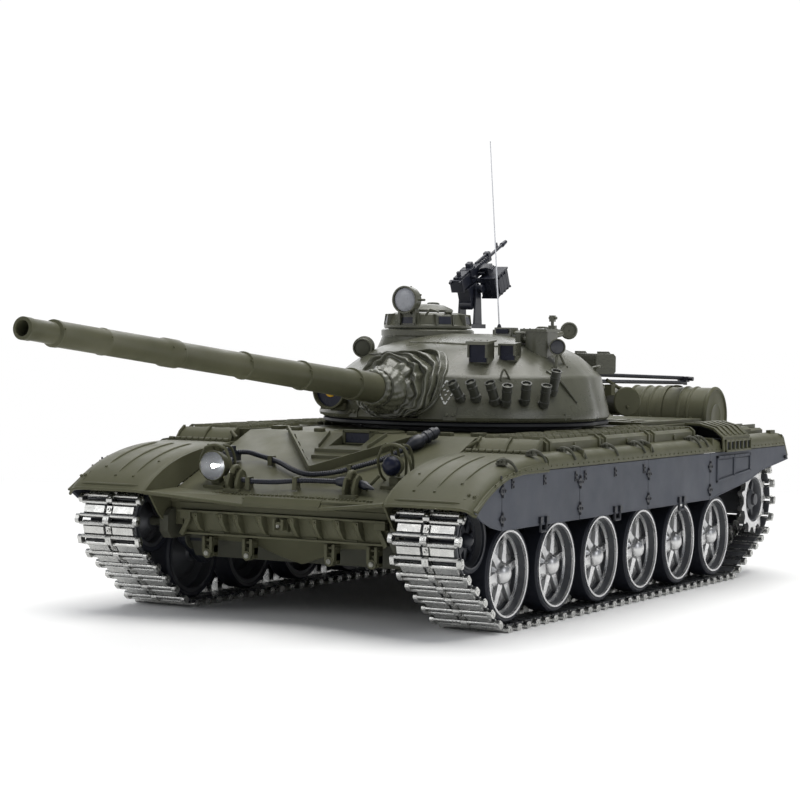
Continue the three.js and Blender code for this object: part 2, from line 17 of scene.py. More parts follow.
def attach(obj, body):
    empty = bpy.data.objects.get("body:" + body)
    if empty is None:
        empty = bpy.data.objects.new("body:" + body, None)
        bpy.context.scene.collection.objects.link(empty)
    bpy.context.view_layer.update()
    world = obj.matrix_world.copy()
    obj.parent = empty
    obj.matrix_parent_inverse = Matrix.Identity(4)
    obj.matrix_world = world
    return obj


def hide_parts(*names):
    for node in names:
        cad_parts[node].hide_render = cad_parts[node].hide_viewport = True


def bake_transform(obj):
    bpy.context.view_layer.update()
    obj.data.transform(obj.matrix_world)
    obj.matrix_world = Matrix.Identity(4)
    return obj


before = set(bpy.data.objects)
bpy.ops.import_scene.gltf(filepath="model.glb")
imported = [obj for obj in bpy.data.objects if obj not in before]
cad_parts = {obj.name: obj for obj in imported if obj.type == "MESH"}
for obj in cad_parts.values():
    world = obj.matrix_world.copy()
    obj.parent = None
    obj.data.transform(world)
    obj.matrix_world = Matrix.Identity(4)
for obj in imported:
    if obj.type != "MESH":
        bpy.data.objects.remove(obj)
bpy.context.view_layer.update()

MM = 0.001
ORIGIN_BACK = 10.475  # the row frame's origin has this y in the hull frame
SHARP, BEVEL_FROM = 34, 32  # degrees between faces, for sharp edges and for bevels
UP = (0, 0, 1)
X_AXIS = ((0, 0, 0), (1, 0, 0))
SIDES = (("left", 1), ("right", -1))
rng = random.Random(7)


# ---- shape kit: a part is (vertices, faces) ------------------------------------------------

def merge(*parts):
    """One part made of several."""
    verts, faces, start = [], [], 0
    for v, f in parts:
        verts.append(np.asarray(v, float).reshape(-1, 3))
        faces += [tuple(i + start for i in face) for face in f]
        start += len(v)
    return np.vstack(verts), faces


def unit(v):
    return v / np.linalg.norm(v)


def left_of(v):
    """A vector of a plane, turned a quarter to the left."""
    return np.array([-v[1], v[0]])


def box(x, y, z):
    """A box between two values of each coordinate."""
    verts = [(a, b, c) for a in x for b in y for c in z]
    faces = [(0, 1, 3, 2), (4, 6, 7, 5), (0, 4, 5, 1), (2, 3, 7, 6), (0, 2, 6, 4), (1, 5, 7, 3)]
    return np.array(verts, float), faces


def prism(outline, axis, low, high):
    """An outline in the plane across the axis, given thickness along it."""
    def place(point, t):
        a, b = point
        return {"x": (t, a, b), "y": (a, t, b), "z": (a, b, t)}[axis]
    n = len(outline)
    verts = [place(p, low) for p in outline] + [place(p, high) for p in outline]
    faces = [tuple(range(n)), tuple(range(2 * n - 1, n - 1, -1))]
    faces += [(i, (i + 1) % n, (i + 1) % n + n, i + n) for i in range(n)]
    return np.array(verts, float), faces


def loft(rings, cap=True, loop=False):
    """A skin through closed rings of equal length."""
    n = len(rings[0])
    verts = np.vstack([np.asarray(r, float) for r in rings])
    last = len(rings) if loop else len(rings) - 1
    faces = []
    for k in range(last):
        a, b = k * n, ((k + 1) % len(rings)) * n
        faces += [(a + i, a + (i + 1) % n, b + (i + 1) % n, b + i) for i in range(n)]
    if cap and not loop:
        faces += [tuple(range(n)), tuple(range(len(verts) - n, len(verts)))]
    return verts, faces


def axes_of(axis):
    """A unit vector along the axis, and two across it."""
    a = Vector(axis).normalized()
    u = a.orthogonal().normalized()
    return np.array(a), np.array(u), np.array(a.cross(u))


def ring(centre, radius, u, w, sides):
    t = np.arange(sides) * 2 * pi / sides
    return np.asarray(centre) + radius * (np.outer(np.cos(t), u) + np.outer(np.sin(t), w))


def lathe(profile, origin, axis, sides=32, loop=False):
    """A turned part: the profile's points are (radius, distance along the axis)."""
    a, u, w = axes_of(axis)
    rings = [ring(np.asarray(origin, float) + a * t, max(r, 0.01), u, w, sides) for r, t in profile]
    return loft(rings, loop=loop)


def rod(start, end, radius, sides=12, tip=None):
    """A round bar between two points."""
    start, end = np.asarray(start, float), np.asarray(end, float)
    length = float(np.linalg.norm(end - start))
    return lathe([(radius, 0), (radius if tip is None else tip, length)], start, end - start, sides)


def smooth_path(points, steps):
    """Catmull-Rom points through the given ones."""
    p = [np.asarray(q, float) for q in points]
    p = [2 * p[0] - p[1]] + p + [2 * p[-1] - p[-2]]
    out = []
    for i in range(1, len(p) - 2):
        for k in range(steps):
            t = k / steps
            out.append(0.5 * (2 * p[i] + (p[i + 1] - p[i - 1]) * t
                + (2 * p[i - 1] - 5 * p[i] + 4 * p[i + 1] - p[i + 2]) * t ** 2
                + (3 * p[i] - p[i - 1] - 3 * p[i + 1] + p[i + 2]) * t ** 3))
    return out + [p[-2]]


def tube(path, radius, sides=8, cap=True):
    """A round bar along a path; radius is a number or one for each point."""
    path = [np.asarray(p, float) for p in path]
    radii = radius if hasattr(radius, "__len__") else [radius] * len(path)
    rings, u = [], None
    for i, point in enumerate(path):
        along = unit(path[min(i + 1, len(path) - 1)] - path[max(i - 1, 0)])
        if u is None:
            u = axes_of(along)[1]
        u = unit(u - along * np.dot(u, along))
        rings.append(ring(point, radii[i], u, np.cross(along, u), sides))
    return loft(rings, cap=cap)


def spaced(path, step):
    """Points along a path at equal distances."""
    path = np.asarray(path, float)
    run = np.concatenate([[0], np.cumsum(np.linalg.norm(np.diff(path, axis=0), axis=1))])
    at = np.linspace(0, run[-1], max(2, int(round(run[-1] / step)) + 1))
    return [np.array([np.interp(s, run, path[:, k]) for k in range(3)]) for s in at]


def ribbed_hose(path, radius, rib=1.1):
    """A corrugated hose along a path."""
    points = spaced(path, rib / 2)
    return tube(points, [radius * (1.08 if i % 2 else 0.88) for i in range(len(points))], 10)


def rivet(point, normal, radius=0.7, height=0.5, sides=8):
    profile = [(radius, -0.4), (radius, height * 0.3), (radius * 0.7, height * 0.85),
        (0.01, height)]
    return lathe(profile, point, normal, sides)


def bolt(point, normal, radius=1.2, height=0.8):
    profile = [(radius, -0.4), (radius, height * 0.8), (radius * 0.8, height)]
    return lathe(profile, point, normal, 6)


def slab(outer, inner):
    """A closed sheet between two grids of the same layout, each a list of rows."""
    n, m = len(outer), len(outer[0])
    verts = np.vstack([np.asarray(r, float) for r in list(outer) + list(inner)])
    shift = n * m
    faces = []
    for k in range(n - 1):
        for i in range(m - 1):
            q = (k * m + i, k * m + i + 1, (k + 1) * m + i + 1, (k + 1) * m + i)
            faces += [q, tuple(j + shift for j in reversed(q))]
    rim = list(range(m)) + [k * m + m - 1 for k in range(1, n)]
    rim += [(n - 1) * m + i for i in range(m - 2, -1, -1)] + [k * m for k in range(n - 2, 0, -1)]
    for a, b in zip(rim, rim[1:] + rim[:1]):
        faces.append((a, b, b + shift, a + shift))
    return verts, faces


def moved(p, x=0.0, y=0.0, z=0.0):
    return p[0] + np.array([x, y, z]), p[1]


def turned(p, axis, degrees, centre=(0, 0, 0)):
    m = np.array(Matrix.Rotation(radians(degrees), 3, axis))
    c = np.asarray(centre, float)
    return (p[0] - c) @ m.T + c, p[1]


def flipped(p):
    """The part's mirror image on the other side of the tank."""
    return p[0] * np.array([-1, 1, 1]), [tuple(reversed(f)) for f in p[1]]


def on_side(p, side):
    return p if side > 0 else flipped(p)


def make_mesh(name, groups, angle=SHARP):
    """A mesh in metres from [(part, material), ...]."""
    mesh = bpy.data.meshes.new(name)
    finishes = []
    for _, finish in groups:
        if finish not in finishes:
            finishes.append(finish)
    verts, faces = merge(*[p for p, _ in groups])
    marks = [finishes.index(finish) for p, finish in groups for _ in p[1]]
    mesh.from_pydata((verts * MM).tolist(), [], faces)
    mesh.polygons.foreach_set("material_index", marks)
    for finish in finishes:
        mesh.materials.append(finish)
    bm = bmesh.new()
    bm.from_mesh(mesh)
    bmesh.ops.recalc_face_normals(bm, faces=bm.faces)
    bm.to_mesh(mesh)
    bm.free()
    mesh.shade_smooth()
    mesh.set_sharp_from_angle(angle=radians(angle))
    return mesh


def place(name, mesh, body, slot, nodes=(), at=(0, 0, 0), bevel=0.0, segments=1):
    """An object of that mesh at a point of the hull frame, riding on a CAD body."""
    obj = bpy.data.objects.new(name, mesh)
    obj.location = Vector((at[0], at[1] - ORIGIN_BACK, at[2])) * MM
    bpy.context.scene.collection.objects.link(obj)
    if bevel:
        mod = obj.modifiers.new("edges", "BEVEL")
        mod.width = bevel * MM
        mod.segments = segments
        mod.limit_method = "ANGLE"
        mod.angle_limit = radians(BEVEL_FROM)
        mod.harden_normals = True
    if body:
        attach(obj, body)
    if nodes:
        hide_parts(*nodes)
    return obj


def piece(name, body, groups, slot, nodes=(), bevel=0.25, segments=1, angle=SHARP):
    return place(name, make_mesh(name, groups, angle), body, slot, nodes, bevel=bevel,
        segments=segments)


# ---- materials -----------------------------------------------------------------------------

def bare_material(name, **inputs):
    """A new material, its node tree and its shader with some inputs set."""
    mat = bpy.data.materials.new(name)
    mat.use_nodes = True
    shader = mat.node_tree.nodes["Principled BSDF"]
    set_inputs(shader, inputs)
    return mat, mat.node_tree, shader


def set_inputs(node, values):
    """Sets a node's inputs by name; _ stands for a space."""
    for name, value in values.items():
        node.inputs[name.replace("_", " ")].default_value = value


def add_node(tree, kind, **inputs):
    node = tree.nodes.new("ShaderNode" + kind)
    set_inputs(node, inputs)
    return node


def add_ramp(tree, source, first, low, second, high):
    """A colour ramp from low at the first value of the source to high at the second."""
    node = add_node(tree, "ValToRGB")
    stops = node.color_ramp.elements
    stops[0].position, stops[1].position = first, second
    stops[0].color, stops[1].color = (*low, 1), (*high, 1)
    tree.links.new(source, node.inputs["Fac"])
    return node.outputs["Color"]


def add_mix(tree, how, a, b):
    """Two colours joined in full by that blend type."""
    node = add_node(tree, "Mix")
    node.data_type, node.blend_type = "RGBA", how
    node.inputs["Factor"].default_value = 1.0
    tree.links.new(a, node.inputs["A"])
    tree.links.new(b, node.inputs["B"])
    return node.outputs["Result"]


def material(name, colour, rough, metallic=0.0, patch=0.12, patch_scale=22.0, grain=0.05,
        grain_scale=2600.0, bump=0.12, rough_spread=0.08, specular=0.5, tint=None):
    """A painted, rubber or metal finish with soft patches, fine grain and uneven gloss."""
    mat, tree, shader = bare_material(name, Metallic=metallic, Specular_IOR_Level=specular)
    link = tree.links.new
    coord = add_node(tree, "TexCoord").outputs["Object"]

    def speckle(scale, detail):
        tex = add_node(tree, "TexNoise", Scale=scale, Detail=detail, Roughness=0.6)
        link(coord, tex.inputs["Vector"])
        return tex.outputs["Fac"]

    def shade(rgb, factor):
        return tuple(min(1.0, c * factor) for c in rgb)

    large, fine = speckle(patch_scale, 4), speckle(grain_scale, 2)
    base = add_ramp(tree, large, 0.3, shade(colour, 1 - patch), 0.7,
        shade(tint or colour, 1 + patch))
    dots = add_ramp(tree, fine, 0.35, (1 - grain,) * 3, 0.6, (1, 1, 1))
    link(add_mix(tree, "MULTIPLY", base, dots), shader.inputs["Base Color"])
    gloss = add_node(tree, "MapRange", From_Min=0.3, From_Max=0.7,
        To_Min=max(0.02, rough - rough_spread), To_Max=min(1.0, rough + rough_spread))
    link(speckle(patch_scale * 3.1, 5), gloss.inputs["Value"])
    link(gloss.outputs["Result"], shader.inputs["Roughness"])
    if bump:
        relief = add_node(tree, "Bump", Strength=bump, Distance=0.0002)
        link(fine, relief.inputs["Height"])
        link(relief.outputs["Normal"], shader.inputs["Normal"])
    return mat


LAMP_COLOUR = (1.0, 0.99, 0.97, 1)
OLIVE = material("olive_paint", (0.084, 0.085, 0.05), 0.42, tint=(0.092, 0.091, 0.056),
    specular=0.14)
TURRET = material("turret_paint", (0.09, 0.092, 0.064), 0.3, tint=(0.102, 0.102, 0.074), grain=0.12,
    grain_scale=1500, bump=0.3)
DARK_OLIVE = material("shaded_paint", (0.062, 0.063, 0.045), 0.5, specular=0.35)
CANVAS = material("canvas", (0.098, 0.1, 0.07), 0.27, patch=0.2, grain=0.14, grain_scale=3800,
    bump=0.3, specular=0.85)
SKIRT = material("skirt_rubber", (0.068, 0.074, 0.09), 0.62, patch=0.14, grain=0.06, specular=0.3)
TYRE = material("tyre_rubber", (0.014, 0.016, 0.024), 0.55, grain=0.15, specular=0.35)
BLACK = material("black_plastic", (0.014, 0.016, 0.022), 0.42, specular=0.4)
GUNMETAL = material("gun_black", (0.012, 0.014, 0.024), 0.36)
HOSE = material("hose_black", (0.010, 0.012, 0.02), 0.4)
STEEL = material("cast_steel", (0.56, 0.56, 0.54), 0.28, metallic=1.0, patch=0.14, patch_scale=90,
    grain=0.1, grain_scale=1500, bump=0.2, rough_spread=0.1)
WHEEL = material("wheel_metal", (0.62, 0.62, 0.62), 0.3, metallic=0.95, patch_scale=50, grain=0.06,
    grain_scale=1500, rough_spread=0.1)
# near-black metal for wheel barrels, the sprocket's centre and the links' base plates: painted
# shade in those recesses and gaps
SHADE_METAL = material("shaded_metal", (0.075, 0.078, 0.085), 0.45, metallic=0.4, patch=0.1)
WORN = material("worn_edge", (0.3, 0.3, 0.26), 0.45, patch=0.3, patch_scale=220, grain=0.5,
    grain_scale=1100, bump=0.6)
GLASS_DARK = material("dark_glass", (0.008, 0.01, 0.024), 0.3, patch=0.3, patch_scale=90, grain=0,
    bump=0, rough_spread=0.05, specular=0.25)
LENS_GREY = material("grey_lens", (0.32, 0.33, 0.36), 0.28, patch=0.1, patch_scale=120, grain=0.04,
    bump=0, rough_spread=0.05, specular=0.6)
LENS_SMOKE = material("smoke_lens", (0.05, 0.052, 0.06), 0.3, bump=0)
REFLECTOR = material("reflector", (0.05, 0.052, 0.055), 0.45, bump=0, specular=0.4)
AMBER = material("amber", (0.75, 0.42, 0.03), 0.3, bump=0)
MARK = material("mark_white", (0.62, 0.63, 0.62), 0.6, patch=0.25, patch_scale=400, bump=0)
WIRE = material("antenna_wire", (0.75, 0.76, 0.8), 0.3, metallic=0.6, bump=0)
TUBE = material("launcher_paint", (0.04, 0.042, 0.034), 0.38)
CLEAR = bare_material("clear_lens", Base_Color=(0.95, 0.97, 1.0, 1), Roughness=0.02,
    Transmission_Weight=1.0, IOR=1.04)[0]
CORE = bare_material("lamp_core", Base_Color=LAMP_COLOUR, Emission_Color=LAMP_COLOUR,
    Emission_Strength=22.0)[0]


# ---- tracks: separate cast links laid along the belt ---------------------------------------

# (y, z) of a wheel's centre; BELT lists the (y, z, radius) that each track runs round
IDLER, SPROCKET = (-98.5, 45.0), (269.5, 43.5)
WHEEL_Z, FIRST_WHEEL_Y, WHEEL_PITCH = 27.2, -63.85, 53.0
BELT = ((*IDLER, 21.0), (FIRST_WHEEL_Y, WHEEL_Z, 27.2), (226.0, 13.0, 13.0), (*SPROCKET, 25.0))
PITCH_LINE, LINK_PITCH, TRACK_MID = 2.05, 10.1, 87.25
TYRE_GAP = (84, 91)  # the x between a wheel's two tyres
ARM_BACK, ARM_RISE = 15, 9.7  # from an axle to its arm's pin in the hull
WHEEL_BEVEL = 0.12


def wheel_y(number):
    return FIRST_WHEEL_Y + (number - 1) * WHEEL_PITCH


def belt_points(inset, step=0.25):
    """Points along the belt, counter-clockwise in the side view, at equal distances."""
    normals = []
    for i, (y, z, r) in enumerate(BELT):
        y2, z2, r2 = BELT[(i + 1) % len(BELT)]
        distance = math.hypot(y2 - y, z2 - z)
        normals.append(math.atan2(z2 - z, y2 - y) - pi / 2 + math.asin((r - r2) / distance))
    points = []
    for i, (y, z, r) in enumerate(BELT):
        a, b = normals[i - 1], normals[i]
        while b < a:
            b += 2 * pi
        count = max(2, int((b - a) * r / step))
        for k in range(count + 1):
            t = a + (b - a) * k / count
            points.append((0, y + (r - inset) * cos(t), z + (r - inset) * sin(t)))
    return np.array(points + points[:1])


def track_link():
    """One link about its middle: x across the track, y along it, z outwards."""
    bars = []
    for s in (-3.3, 3.3):
        for a, b in ((-16.4, -1.5), (1.5, 16.4)):
            bars.append(lathe([(0.6, 0), (0.98, 0.4), (0.98, b - a - 0.4), (0.6, b - a)],
                (a, s, 0.95), (1, 0, 0), 8))
            bars.append(box((a + 0.6, b - 0.6), (s - 0.5, s + 0.5), (-1.5, 0.6)))
    # the base plates under the bars: painted shade in the gaps between the bars
    base = [box((a, b), (-4.2, 4.2), (-1.4, -0.5)) for a, b in ((-15.6, -2.2), (2.2, 15.6))]
    plates = [box((a, b), (-1.8, 1.8), (-0.6, 1.0)) for a, b in ((-14.6, -2.6), (2.6, 14.6))]
    capsule = [(s * (1.05 + 1.45 * cos(t)), 0.4 + 1.75 * sin(t)) for s in (1, -1)
        for t in np.linspace(-s * pi / 2, s * pi / 2, 7)]
    ends = [moved(prism(capsule, "x", a, b), y=LINK_PITCH / 2)
        for a, b in ((-18.2, -15.9), (-1.7, 1.7), (15.9, 18.2))]
    ends += [bolt((18.1 * way, LINK_PITCH / 2 + s, 0.4), (way, 0, 0), 0.95, 0.35) for way in (-1, 1)
        for s in (-1.2, 1.2)]
    ends.append(bolt((0, LINK_PITCH / 2, 1.9), UP, 0.9, 0.5))
    ends.append(lathe([(0.5, 0.2), (0.5, 1.3), (1.1, 1.3), (1.1, 0.2)], (0, 0, 0), UP, 12,
        loop=True))
    horn = loft([[(-a, -b, z), (a, -b, z), (a, b, z), (-a, b, z)]
        for a, b, z in ((2.1, 2.4, -1.2), (1.7, 1.9, -5), (0.8, 1.0, -8))])
    web = box((-1.5, 1.5), (-1.9, 1.9), (-1.4, 0.6))
    return merge(*bars, *plates, *ends, horn, web), merge(*base)


def track(side, link):
    path = belt_points(PITCH_LINE)
    run = np.concatenate([[0], np.cumsum(np.linalg.norm(np.diff(path, axis=0), axis=1))])
    count = int(round(run[-1] / LINK_PITCH))
    verts, faces = link
    parts = []
    for k in range(count):
        s = run[-1] * (k + 0.35) / count

        def at(distance):
            d = distance % run[-1]
            return np.array([np.interp(d, run, path[:, 1]), np.interp(d, run, path[:, 2])])

        behind, ahead, middle = at(s - 4.8), at(s + 4.8), at(s)
        along = unit(ahead - behind)
        out = np.array([along[1], -along[0]])
        centre = (behind + ahead) / 2 * 0.5 + middle * 0.5
        x = verts[:, 0] + side * TRACK_MID
        yz = centre + np.outer(verts[:, 1], along) + np.outer(verts[:, 2], out)
        parts.append((np.column_stack([x, yz]), faces))
    return merge(*parts)


# the links' base plates take the dark metal: painted shade between the bars
bright_link, shaded_link_base = track_link()
for word, side in SIDES:
    piece(f"track_links_{word}", "hull", [(track(side, bright_link), STEEL),
        (track(side, shaded_link_base), SHADE_METAL)], "track_metal", [f"track_{word}"], bevel=0.14)


# ---- wheels ---------------------------------------------------------------------------------

def spoked_disc(inner, outer, floor, height, count, width):
    """A dished disc with raised spokes, its axis along X, facing +X."""
    parts = [lathe([(inner, floor - 2.2), (inner, floor + 0.4), (inner + 1.2, floor),
        (outer, floor - 1.2), (outer, floor - 2.2)], *X_AXIS, 48, loop=True)]
    for k in range(count):
        a, b = width / 2, width / 2 * 0.62
        low = [(floor - 2, inner - 1, -a), (floor - 2, inner - 1, a), (floor - 2, outer, b),
            (floor - 2, outer, -b)]
        high = [(floor + height, inner - 1, -a * 0.72), (floor + height, inner - 1, a * 0.72),
            (floor + height * 0.45, outer, b * 0.66), (floor + height * 0.45, outer, -b * 0.66)]
        parts.append(turned(loft([low, high]), "X", 360 * k / count + 12))
    return merge(*parts)


def wheel_mesh(name, tyre_r, x_in, x_out, spokes=6, metal=WHEEL):
    """A twin-tyred wheel about its own centre line, with x measured from the hull's middle."""
    rim = tyre_r - 2.5
    groove = 0.62 * tyre_r

    def tyre(a, b):
        return lathe([(rim - 0.2, a + 0.3), (tyre_r - 0.9, a), (tyre_r, a + 1.1), (tyre_r, b - 1.1),
            (tyre_r - 0.9, b), (rim - 0.2, b - 0.3)], *X_AXIS, 64, loop=True)

    tyres = merge(tyre(x_in, TYRE_GAP[0]), tyre(TYRE_GAP[1], x_out))
    barrel = lathe([(rim, TYRE_GAP[1]), (rim, x_out - 0.9), (rim - 1.1, x_out - 0.9),
        (rim - 1.6, x_out - 4.6), (rim - 1.8, x_out - 6.4), (groove, x_out - 7),
        (groove, TYRE_GAP[1])], *X_AXIS, 64, loop=True)
    lip = lathe([(rim + 0.25, x_out - 1.4), (rim + 0.25, x_out + 0.25), (rim - 0.75, x_out + 0.25),
        (rim - 0.95, x_out - 1.4)], *X_AXIS, 64, loop=True)
    step = lathe([(rim - 1.4, x_out - 4.9), (rim - 1.4, x_out - 3.8), (rim - 2.5, x_out - 3.8),
        (rim - 2.9, x_out - 4.9)], *X_AXIS, 64, loop=True)
    scale = tyre_r / 22.8
    face = spoked_disc(6.4 * scale, rim - 2.2, x_out - 5.6, 2.2, spokes, 6.4 * scale)
    hub_x = x_out - 6.6
    hub = lathe([(7.6 * scale, hub_x - 2), (7.6 * scale, hub_x + 1.2), (6.6 * scale, hub_x + 2.4),
        (5.4 * scale, hub_x + 2.6), (5.2 * scale, hub_x + 4.0), (4.4 * scale, hub_x + 5.6),
        (2.9 * scale, hub_x + 6.7), (1.1 * scale, hub_x + 7.1), (0, hub_x + 7.2)], *X_AXIS, 32)
    bolts = [turned(bolt((hub_x + 2.2, 6.0 * scale, 0), (1, 0, 0), 0.75, 0.7), "X", 60 * k)
        for k in range(6)]
    inner = lathe([(rim, x_in + 0.6), (rim, TYRE_GAP[0]), (groove, TYRE_GAP[0]), (groove, 80),
        (rim - 2, 79), (rim - 2, x_in + 0.6)], *X_AXIS, 48, loop=True)
    core = lathe([(4, x_in + 0.5), (4.6, x_in + 2), (groove, 80), (groove, 92), (4, 95)], *X_AXIS,
        32)
    # the barrel, inner wall and core take the dark metal: painted shade inside the wheel
    return make_mesh(name, [(tyres, TYRE), (merge(barrel, inner, core), SHADE_METAL),
        (merge(lip, step, face, hub, *bolts), metal)], 30)


def mirrored_mesh(mesh, name):
    copy = mesh.copy()
    copy.name = name
    copy.transform(Matrix.Scale(-1, 4, (1, 0, 0)))
    copy.flip_normals()
    return copy


ROAD_WHEEL = {1: wheel_mesh("road_wheel_mesh", 22.8, 73, 103)}
ROAD_WHEEL[-1] = mirrored_mesh(ROAD_WHEEL[1], "road_wheel_mesh_right")
# the idler's face takes black plastic for its metal: painted shade, the idler sitting in shadow at
# the front
IDLER_WHEEL = {1: wheel_mesh("idler_mesh", 15.5, 74, 101, 8, BLACK)}
IDLER_WHEEL[-1] = mirrored_mesh(IDLER_WHEEL[1], "idler_mesh_right")


def sprocket_mesh():
    teeth = 13
    outline, inner = [], []
    for k in range(teeth):
        for part, r in ((-0.36, 16.6), (-0.24, 17.0), (-0.13, 19.3), (-0.04, 20.3), (0.04, 20.3),
                (0.13, 19.3), (0.24, 17.0), (0.36, 16.6)):
            t = 2 * pi * (k + part) / teeth
            outline.append((r * cos(t), r * sin(t)))
            inner.append((13.2 * cos(t), 13.2 * sin(t)))

    def at(points, x):
        return [(x, a, b) for a, b in points]

    def gear(a, b):
        return loft([at(outline, a), at(outline, b), at(inner, b), at(inner, a)], loop=True)

    dish = lathe([(13.4, 98), (13.4, 100.4), (12.2, 100.4), (10.8, 97.4), (10.8, 96)], *X_AXIS, 48,
        loop=True)
    hub = lathe([(6, 93), (6, 99), (4.6, 100.2), (3.6, 100.4), (3.4, 102), (0, 102.4)], *X_AXIS, 24)
    arms, bolts = [], []
    for k in range(6):
        arm = loft([[(95.4, 5, -2.6), (95.4, 5, 2.6), (95.4, 11.5, 1.9), (95.4, 11.5, -1.9)],
            [(98.6, 5, -1.9), (98.6, 5, 1.9), (98.2, 11.5, 1.3), (98.2, 11.5, -1.3)]])
        arms.append(turned(arm, "X", 60 * k))
        bolts.append(turned(bolt((100.3, 15.2, 0), (1, 0, 0), 0.9, 0.6), "X", 60 * k + 14))
    drum = lathe([(9, 77), (9, 95.5)], *X_AXIS, 32)
    back = lathe([(16.5, 74), (16.5, 77)], *X_AXIS, 48)
    shaft = lathe([(2.5, 48.5), (2.5, 75)], *X_AXIS, 16)
    # the inner gear, dish, hub, arms and drum take the dark metal: painted shade in the sprocket's
    # centre
    return make_mesh("sprocket_mesh", [(merge(gear(98, 101), *bolts), WHEEL),
        (merge(gear(75, 77.5), dish, hub, *arms, drum, back, shaft), SHADE_METAL)], 30)


SPROCKET_WHEEL = {1: sprocket_mesh()}
SPROCKET_WHEEL[-1] = mirrored_mesh(SPROCKET_WHEEL[1], "sprocket_mesh_right")

for word, side in SIDES:
    for number in range(1, 7):
        place(f"wheel_{word}_{number}", ROAD_WHEEL[side], f"wheel_{word}_{number}", "wheel_metal",
            [f"road_wheel_{word}_{number}"], (0, wheel_y(number), WHEEL_Z), bevel=WHEEL_BEVEL)
    place(f"idler_{word}", IDLER_WHEEL[side], f"idler_{word}", "wheel_metal",
        [f"idler_wheel_{word}"], (0, *IDLER), bevel=WHEEL_BEVEL)
    place(f"sprocket_{word}", SPROCKET_WHEEL[side], f"sprocket_{word}", "wheel_metal",
        [f"drive_sprocket_{word}"], (0, *SPROCKET), bevel=WHEEL_BEVEL)


def swing_arm(side, number):
    """A cast arm from its pin in the hull down to the wheel's axle."""
    y = wheel_y(number)
    pivot, axle = np.array([y - ARM_BACK, WHEEL_Z + ARM_RISE]), np.array([y, WHEEL_Z])
    along = unit(axle - pivot)
    across = left_of(along)
    rings = []
    for x, grow in ((64.7, 0.8), (65.4, 1.0), (69.1, 1.0), (69.8, 0.8)):
        outline = []
        for centre, r, start in ((axle, 5.2, -pi / 2), (pivot, 4.8, pi / 2)):
            for t in np.linspace(start, start + pi, 9):
                q = centre + grow * r * (cos(t) * along + sin(t) * across)
                outline.append((x, q[0], q[1]))
        rings.append(outline)
    parts = [loft(rings), rod((56, *pivot), (65, *pivot), 3, 12),
        rod((69, *axle), (96, *axle), 2.2, 12),
        lathe([(3.4, 69.8), (3.4, 71.2), (2.4, 72)], (0, *pivot), (1, 0, 0), 16)]
    return on_side(merge(*parts), side)


for word, side in SIDES:
    for number in range(1, 7):
        piece(f"arm_{word}_{number}", f"arm_{word}_{number}", [(swing_arm(side, number), BLACK)],
            "black_plastic", [f"swing_arm_{word}_{number}"], bevel=0.2)


# ---- skirts ---------------------------------------------------------------------------------

# (y, z) along the skirt's lower and upper edges, and the y of the gaps between its panels
SKIRT_BOTTOM = ((-116.5, 59.6), (-110, 55.5), (-100, 51.8), (-89.5, 49.8), (170, 49.8), (231, 57),
    (254.6, 62.6), (297.4, 67.2))
SKIRT_TOP = ((-116.5, 59.8), (-106.8, 65), (-96.3, 69.8), (-85, 73.4), (-68, 75), (292.8, 75),
    (297.4, 67.4))
SKIRT_JOINTS = (-116.4, -90, -4.5, 81.3, 169.1, 297.3)


def along(line, y):
    return float(np.interp(y, [p[0] for p in line], [p[1] for p in line]))


def skirt_x(y, z):
    """The outer face of the rubber skirt, which waves a little."""
    return 111.7 + 0.28 * sin(y * 0.071 + 0.6) * (75 - z) / 25


def skirt_panels():
    parts = []
    for a, b in zip(SKIRT_JOINTS, SKIRT_JOINTS[1:]):
        a, b = a + 0.25, b - 0.25
        ys = sorted(set([a, b] + [p[0] for p in SKIRT_BOTTOM + SKIRT_TOP if a < p[0] < b]
            + list(np.arange(a + 4, b - 4, 6.5))))
        rows = []
        for y in ys:
            low, high = along(SKIRT_BOTTOM, y), along(SKIRT_TOP, y)
            rows.append([(y, low + (high - low) * k / 5) for k in range(6)])
        outer = [[(skirt_x(y, z), y, z) for y, z in row] for row in rows]
        inner = [[(skirt_x(y, z) - 1.3, y, z) for y, z in row] for row in rows]
        parts.append(slab(outer, inner))
        edge = [(skirt_x(y, along(SKIRT_BOTTOM, y)) - 0.3, y, along(SKIRT_BOTTOM, y)) for y in ys]
        parts.append(tube(edge, 0.55, 6))
    return merge(*parts)


def diamond_clip(y, z):
    x = skirt_x(y, z)
    plate = turned(box((x - 0.1, x + 0.55), (y - 2.1, y + 2.1), (z - 2.1, z + 2.1)), "X", 45,
        (x, y, z))
    dots = [rivet((x + 0.4, y + a, z + b), (1, 0, 0), 0.85, 0.8)
        for a, b in ((0, 0), (2.3, 0), (-2.3, 0), (0, 2.5), (0, -2.5))]
    return merge(plate, *dots)


def bolt_plate(y, z):
    x = skirt_x(y, z)
    dots = [rivet((x + 0.3, y + a, z + b), (1, 0, 0), 0.7, 0.6)
        for a, b in ((-0.8, 1.6), (0.8, 0.6), (-0.6, -0.6), (0.9, -1.6))]
    return merge(box((x - 0.1, x + 0.4), (y - 1.2, y + 1.2), (z - 2.4, z + 2.4)), *dots)


def square_loop(y):
    path = [(y - 3.2, 52.5), (y - 3.2, 46.5), (y + 3.2, 46.5), (y + 3.2, 52.5)]
    bars = [rod((112, *a), (112, *b), 0.75, 8) for a, b in zip(path, path[1:])]
    ears = [box((111.4, 113), (y + s - 1.4, y + s + 1.4), (50.4, 53.4)) for s in (-3.4, 3.4)]
    return merge(*bars, *ears)


